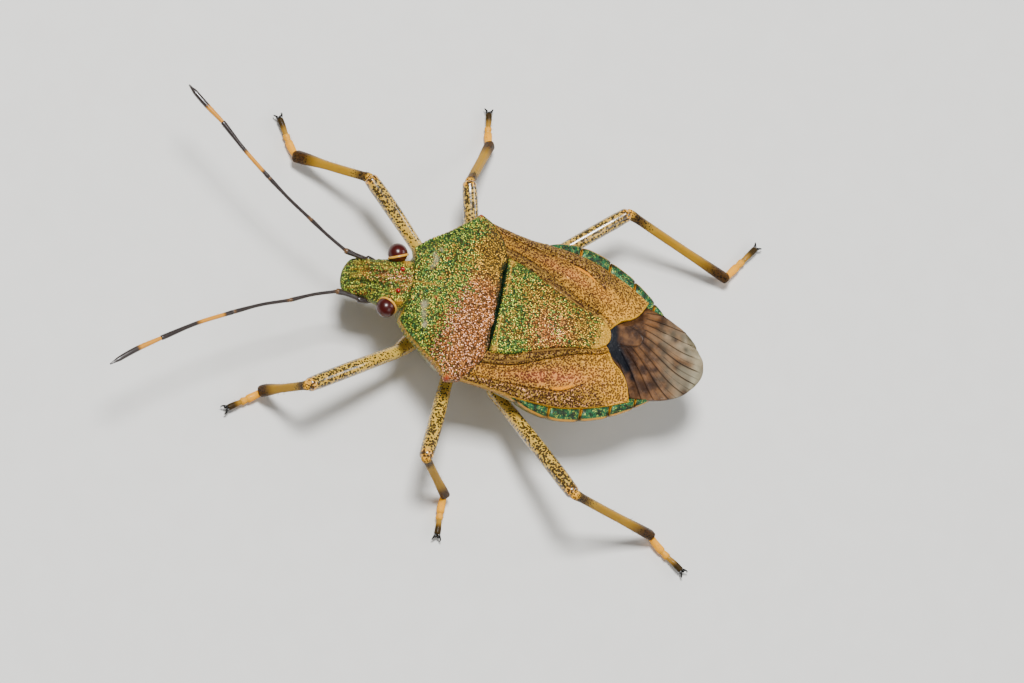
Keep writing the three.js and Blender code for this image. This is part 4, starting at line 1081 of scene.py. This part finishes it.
class LegPieces(bpy.types.Operator):
    """Six legs: coxa and femur, tibia, tarsus, claws and bristles for each"""

    bl_idname = "shield_bug.legs"
    bl_label = "Legs"

    def execute(self, context):
        """Builds all six legs."""
        sizes = context.scene.shield_bug_sizes
        for number, (name, (hip, out, knee, ankle, tip)) in enumerate(LEGS.items()):
            thigh = Shell()
            thigh.tube([hip, between(hip, out, 0.5, -0.12), between(hip, out, 0.85, -0.1)],
                       lambda t: 0.4 - 0.12 * t ** 2, 30, 20, dense=0.1)
            thigh.tube([between(hip, out, 0.8, -0.1), out, between(out, knee, 0.08)],
                       lambda t: 0.25 + 0.02 * t, 26, 16, dense=0.15)
            line = [out, between(out, knee, 0.35, 0.05), between(out, knee, 0.7, 0.06),
                    between(out, knee, 0.975)]
            femur_radius = lambda t: sizes.femur_radius * (0.83 + 0.12 * ease(0.0, 0.6, t)
                                                           - 0.06 * ease(0.88, 1.0, t))
            thigh.tube(line, femur_radius, 40, 90,
                       dense=lambda t, turn: 0.25 + 0.75 * ease(0.0, 0.75, t) - 0.25 * ease(0.0, -0.9, turn),
                       amber=lambda t, turn: 0.15 * ease(0.5, 1, t),
                       orange=lambda t, turn: 0.6 * ease(0.95, 1.0, t))
            thigh.build(name + "_thigh", "speckled_femur_cuticle",
                        [name + "_coxa", name + "_femur"], 70)
            lower = Shell()
            widen = 0.08 if name.startswith("fore") else 0.035
            shin_line = [knee, between(knee, ankle, 0.06, 0.02), between(knee, ankle, 0.35),
                         between(knee, ankle, 0.7), ankle]
            shin_radius = lambda t: (sizes.tibia_radius * (1 + 0.16 * bell(t, 0.03, 0.05))
                                     + widen * ease(0.55, 0.97, t))
            keel = lambda t, a: 1 + 0.07 * np.cos(4 * (a - math.pi / 2)) * ease(0.05, 0.15, t)
            lower.tube(shin_line, shin_radius, 36, 90, keel,
                       dense=lambda t, turn: 0.55 * np.maximum(ease(0.3, 0.04, t), 0.7 * ease(0.75, 1, t)),
                       amber=lambda t, turn: 0.9 * ease(0.05, 0.3, t) * ease(1.0, 0.75, t),
                       brown=lambda t, turn: np.maximum(0.9 * ease(0.26, 0.1, t) * ease(0.0, 0.05, t),
                                                        0.95 * ease(0.64, 0.9, t)),
                       orange=lambda t, turn: 0.6 * ease(0.06, 0.0, t))
            lower.build(name + "_shin", "amber_tibia_cuticle", [name + "_tibia"], 70)
            foot = Shell()
            heading = np.array([tip[0] - ankle[0], tip[1] - ankle[1], 0.0])
            reach = float(np.linalg.norm(heading)) - 0.34
            heading /= np.linalg.norm(heading)
            side = np.array([-heading[1], heading[0], 0.0])
            ground = lambda d, z: (np.array([ankle[0], ankle[1], 0.0]) + heading * d + [0, 0, z]).tolist()
            marks = [(0.0, 0.42), (0.42 * reach, 0.165), (0.6 * reach, 0.15), (reach, 0.2)]
            for k, (r0, r1, arch, orange, brown) in enumerate(FOOT_JOINTS):
                (d0, z0), (d1, z1) = marks[k], marks[k + 1]
                shade = (0.9, 0.25, 0.7) if k == 2 else (0.1, 0.8, 1)
                foot.tube([ground(d0 + 0.02, z0), ground((d0 + d1) / 2, (z0 + z1) / 2 + arch),
                           ground(d1 - 0.02, z1)],
                          lambda t, a=r0, b=r1: a + (b - a) * ease(0.1, 0.9, t), 24, 24,
                          orange=orange, brown=brown,
                          dark=lambda t, turn, q=shade: q[0] * ease(q[1], q[2], t))
            foot.build(name + "_foot", "amber_tibia_cuticle", [name + "_tarsus"], 70)
            hooks = Shell()
            root = np.array(ground(reach - 0.03, 0.22))
            for s in (1, -1):
                pad = root + heading * 0.14 + side * s * 0.07 + [0, 0, -0.06]
                hooks.tube([root, root + heading * 0.15 + side * s * 0.1 + [0, 0, 0.03],
                            root + heading * 0.27 + side * s * 0.17 + [0, 0, -0.05],
                            root + heading * 0.3 + side * s * 0.15 + [0, 0, -0.17]],
                           lambda t: 0.055 * (1 - t) ** 0.7 + 0.006, 14, 18)
                hooks.ball(pad, 0.07, (1, 1, 0.7), 14, 18)
            hooks.build(name + "_claws", "black_claw_cuticle", (), 70)
            fuzz = Shell()
            hair = sizes.hair_length
            bristles(fuzz, shin_line, shin_radius, 90, hair, SHIN_SEED + number, 0.4, 0.004)
            bristles(fuzz, [ground(0.1, 0.3), ground(0.45 * reach, 0.17), ground(0.95 * reach, 0.19)],
                     lambda t: 0.14, 70, hair * 0.7, FOOT_SEED + number, 0.4, 0.004)
            bristles(fuzz, line, femur_radius, 110, hair * 0.6, THIGH_SEED + number, 0.4, 0.004)
            fuzz.build(name + "_bristles", "pale_bristle", (), 70)
        return {"FINISHED"}


ANTENNAE = {
    "left": [[0.8, 0.9, 3.06], [0.82, -0.09, 3.3], [1.87, -1.94, 3.7], [3.13, -4.1, 4.1],
             [5.11, -6.71, 4.45], [6.74, -8.45, 4.5]],
    "right": [[-0.9, 0.9, 3.06], [-0.93, -0.1, 3.3], [-1.66, -1.84, 3.7], [-2.72, -3.9, 4.1],
              [-4.31, -6.25, 4.45], [-5.42, -7.91, 4.5]],
}
# Each length: its girth, where its orange band starts and ends, and its number of bristles
FEELER_LENGTHS = ((1.35, 0, 0, 20), (0.95, 0, 0, 60), (0.95, 0, 0, 90), (1.15, 0.12, 0.47, 190),
                  (1.2, -0.1, 0.42, 170))
FEELER_SEED = 400


class AntennaPieces(bpy.types.Operator):
    """Both antennae, five jointed lengths each, with bristles"""

    bl_idname = "shield_bug.antennae"
    bl_label = "Antennae"

    def execute(self, context):
        """Builds both antennae."""
        thin = context.scene.shield_bug_sizes.feeler_radius
        jointed = lambda t: 0.82 + 0.22 * ease(0.6, 0.97, t) + 0.1 * bell(t, 0.02, 0.04)
        tapered = lambda t: ((0.75 + 0.3 * np.sin(math.pi * np.clip(t * 0.9, 0, 1)))
                             * (1 - 0.6 * ease(0.8, 1, t)))
        for side, label in SIDES:
            joints = ANTENNAE[label]
            fuzz = Shell()
            for k, (girth, start, band, hairs) in enumerate(FEELER_LENGTHS):
                a, b = joints[k], joints[k + 1]
                bow = np.cross(np.array(b) - np.array(a), [0, 0, 1.0]) * 0.02 * side
                middle = (np.array(between(a, b, 0.5, 0.03)) + bow).tolist()
                path = [between(a, b, 0.012), middle, between(a, b, 0.988)]
                form = tapered if k == 4 else jointed
                shape = lambda t, g=thin * girth, f=form: g * f(t)
                number = str(k + 1)
                piece = Shell()
                piece.tube(path, shape, 24, 60,
                           amber=lambda t, turn, low=start, high=band: (
                               ease(low - 0.03, low + 0.03, t) * ease(high + 0.05, high - 0.05, t) if high
                               else 0.15 * ease(0.08, 0.0, t) + 0.15 * ease(0.95, 1.0, t)))
                piece.build("antenna_" + label + "_length_" + number, "banded_antenna_cuticle",
                            ["antenna_" + label + "_" + number], 70)
                bristles(fuzz, path, shape, hairs, 0.05, FEELER_SEED + k + 10 * side, 0.5, 0.003)
            fuzz.build("antenna_" + label + "_bristles", "pale_bristle", (), 70)
        return {"FINISHED"}


class FinishMaterials(bpy.types.Operator):
    """All finishes, made before the pieces that wear them"""

    bl_idname = "shield_bug.finishes"
    bl_label = "Finishes"

    def execute(self, context):
        """Builds the materials."""
        sizes, paint = context.scene.shield_bug_sizes, context.scene.shield_bug_colours
        metallic_cuticle(paint, sizes.puncture_spacing)
        leathery_wing(paint, sizes.wing_puncture)
        smoky_membrane(paint)
        rim_plates(paint, sizes.puncture_spacing)
        under_cuticle(paint, sizes.puncture_spacing)
        speckled_leg(paint, "speckled_femur_cuticle")
        speckled_leg(paint, "amber_tibia_cuticle", 0.08, 0.05, 0.5, 0.12)
        dark_feeler(paint)
        glossy_eye(paint)
        smooth_cuticle("pale_eye_rim", paint.eye_ring, paint.callus, 0.35)
        smooth_cuticle("red_small_eye", paint.ocellus, paint.ocellus, 0.15)
        smooth_cuticle("black_claw_cuticle", paint.speck, paint.speck, 0.25)
        smooth_cuticle("pale_bristle", paint.bristle, paint.bristle, 0.6)
        return {"FINISHED"}


TARGET = np.array([0.0, 7.5, 3.0])
ROLL = math.radians(43.25)
TILT = math.radians(22.76)
TURN = math.radians(29.36)
PIXELS_PER_MM = 24.991
DISTANCE = 250.0
PICTURE_WIDTH = 1024.0
SENSOR_WIDTH = 36.0
FLOOR_HALF = 0.6
FLOOR_LEVEL = -0.0001


class StudioStage(bpy.types.Operator):
    """Pale floor, soft lights and the camera at the photograph's view"""

    bl_idname = "shield_bug.stage"
    bl_label = "Stage"

    def execute(self, context):
        """Builds the stage."""
        first = np.array([math.sin(TURN), math.cos(TURN), 0.0])
        second = np.array([math.cos(TURN), -math.sin(TURN), 0.0])
        up = np.array([0.0, 0.0, 1.0])
        towards = second * math.sin(TILT) + up * math.cos(TILT)
        flat = second * math.cos(TILT) - up * math.sin(TILT)
        right = math.cos(ROLL) * first - math.sin(ROLL) * flat
        down = math.sin(ROLL) * first + math.cos(ROLL) * flat
        target = (TARGET + SHIFT) / 1000.0

        def aimed(obj, place, look_back, side):
            """Places an object that looks along minus look_back."""
            rise = np.cross(look_back, side)
            matrix = np.eye(4)
            matrix[:3, 0], matrix[:3, 1], matrix[:3, 2], matrix[:3, 3] = side, rise, look_back, place
            obj.matrix_world = mathutils.Matrix(matrix.tolist())

        eye = bpy.data.cameras.new("photo_view")
        eye.sensor_width = SENSOR_WIDTH
        eye.lens = PIXELS_PER_MM * DISTANCE * SENSOR_WIDTH / PICTURE_WIDTH
        eye.clip_start = 0.005
        eye.clip_end = 5.0
        camera = bpy.data.objects.new("photo_view", eye)
        context.scene.collection.objects.link(camera)
        offset = (-right * 7.8 + down * 15.8) / PIXELS_PER_MM / 1000.0
        aimed(camera, target + towards * DISTANCE / 1000.0 + offset, towards, right)
        context.scene.camera = camera

        def soft_light(name, toward, upward, sideways, size, power):
            """A square soft box aimed at the bug, placed in millimetres by the camera's axes."""
            lamp = bpy.data.lights.new(name, "AREA")
            lamp.size = size
            lamp.energy = power
            obj = bpy.data.objects.new(name, lamp)
            context.scene.collection.objects.link(obj)
            place = target + (towards * toward - down * upward + right * sideways) / 1000.0
            back = (place - target) / np.linalg.norm(place - target)
            side = np.cross(down, back)
            aimed(obj, place, back, side / np.linalg.norm(side))

        soft_light("key_softbox", 190, 100, 20, 0.05, 0.82)
        soft_light("fill_softbox", 150, -90, 130, 0.12, 0.1)
        soft_light("rim_softbox", 60, 60, 200, 0.08, 0.14)
        world = bpy.data.worlds.new("studio_air")
        world.use_nodes = True
        air = world.node_tree.nodes["Background"]
        air.inputs[0].default_value = (0.95, 0.97, 1.0, 1)
        air.inputs[1].default_value = 0.2
        context.scene.world = world
        tree, spot, shader = start_material("pale_matt_floor")[:3]
        ground = add(tree, "blend", add(tree, "noise", spot, 0.8, 3.0), "#e4e3df", "#dddcd7")
        tree.links.new(ground, shader.inputs["Base Color"])
        shader.inputs["Roughness"].default_value = 0.8
        mesh = bpy.data.meshes.new("floor")
        corners = [(x * FLOOR_HALF, y * FLOOR_HALF, FLOOR_LEVEL)
                   for x, y in ((-1, -1), (1, -1), (1, 1), (-1, 1))]
        mesh.from_pydata(corners, [], [(0, 1, 2, 3)])
        mesh.materials.append(bpy.data.materials["pale_matt_floor"])
        floor = bpy.data.objects.new("floor", mesh)
        context.scene.collection.objects.link(floor)
        return {"FINISHED"}


class ShieldBugPanel(bpy.types.Panel):
    """Lists the steps of the model"""

    bl_idname = "VIEW3D_PT_shield_bug"
    bl_label = "Shield Bug"
    bl_space_type = "VIEW_3D"
    bl_region_type = "UI"
    bl_category = "Shield Bug"

    def draw(self, context):
        """Draws the sizes, colours and steps."""
        for group in (context.scene.shield_bug_sizes, context.scene.shield_bug_colours):
            for key in group.__annotations__:
                self.layout.prop(group, key)
        for step in STEPS:
            self.layout.operator(step.bl_idname)


STEPS = (FinishMaterials, HeadPieces, PronotumShield, ScutellumShield, ForeWingLeather, WingMembranes,
         AbdomenPieces, LegPieces, AntennaPieces, StudioStage)
CLASSES = (ShieldBugSizes, ShieldBugColours) + STEPS + (ShieldBugPanel,)


def register():
    """Registers the classes and the settings."""
    for item in CLASSES:
        bpy.utils.register_class(item)
    bpy.types.Scene.shield_bug_sizes = bpy.props.PointerProperty(type=ShieldBugSizes)
    bpy.types.Scene.shield_bug_colours = bpy.props.PointerProperty(type=ShieldBugColours)


def unregister():
    """Takes the classes and the settings away."""
    del bpy.types.Scene.shield_bug_colours
    del bpy.types.Scene.shield_bug_sizes
    for item in reversed(CLASSES):
        bpy.utils.unregister_class(item)


def main():
    """Builds the whole model."""
    register()
    for step in STEPS:
        area, name = step.bl_idname.split(".")
        getattr(getattr(bpy.ops, area), name)()


if __name__ == "__main__":
    main()
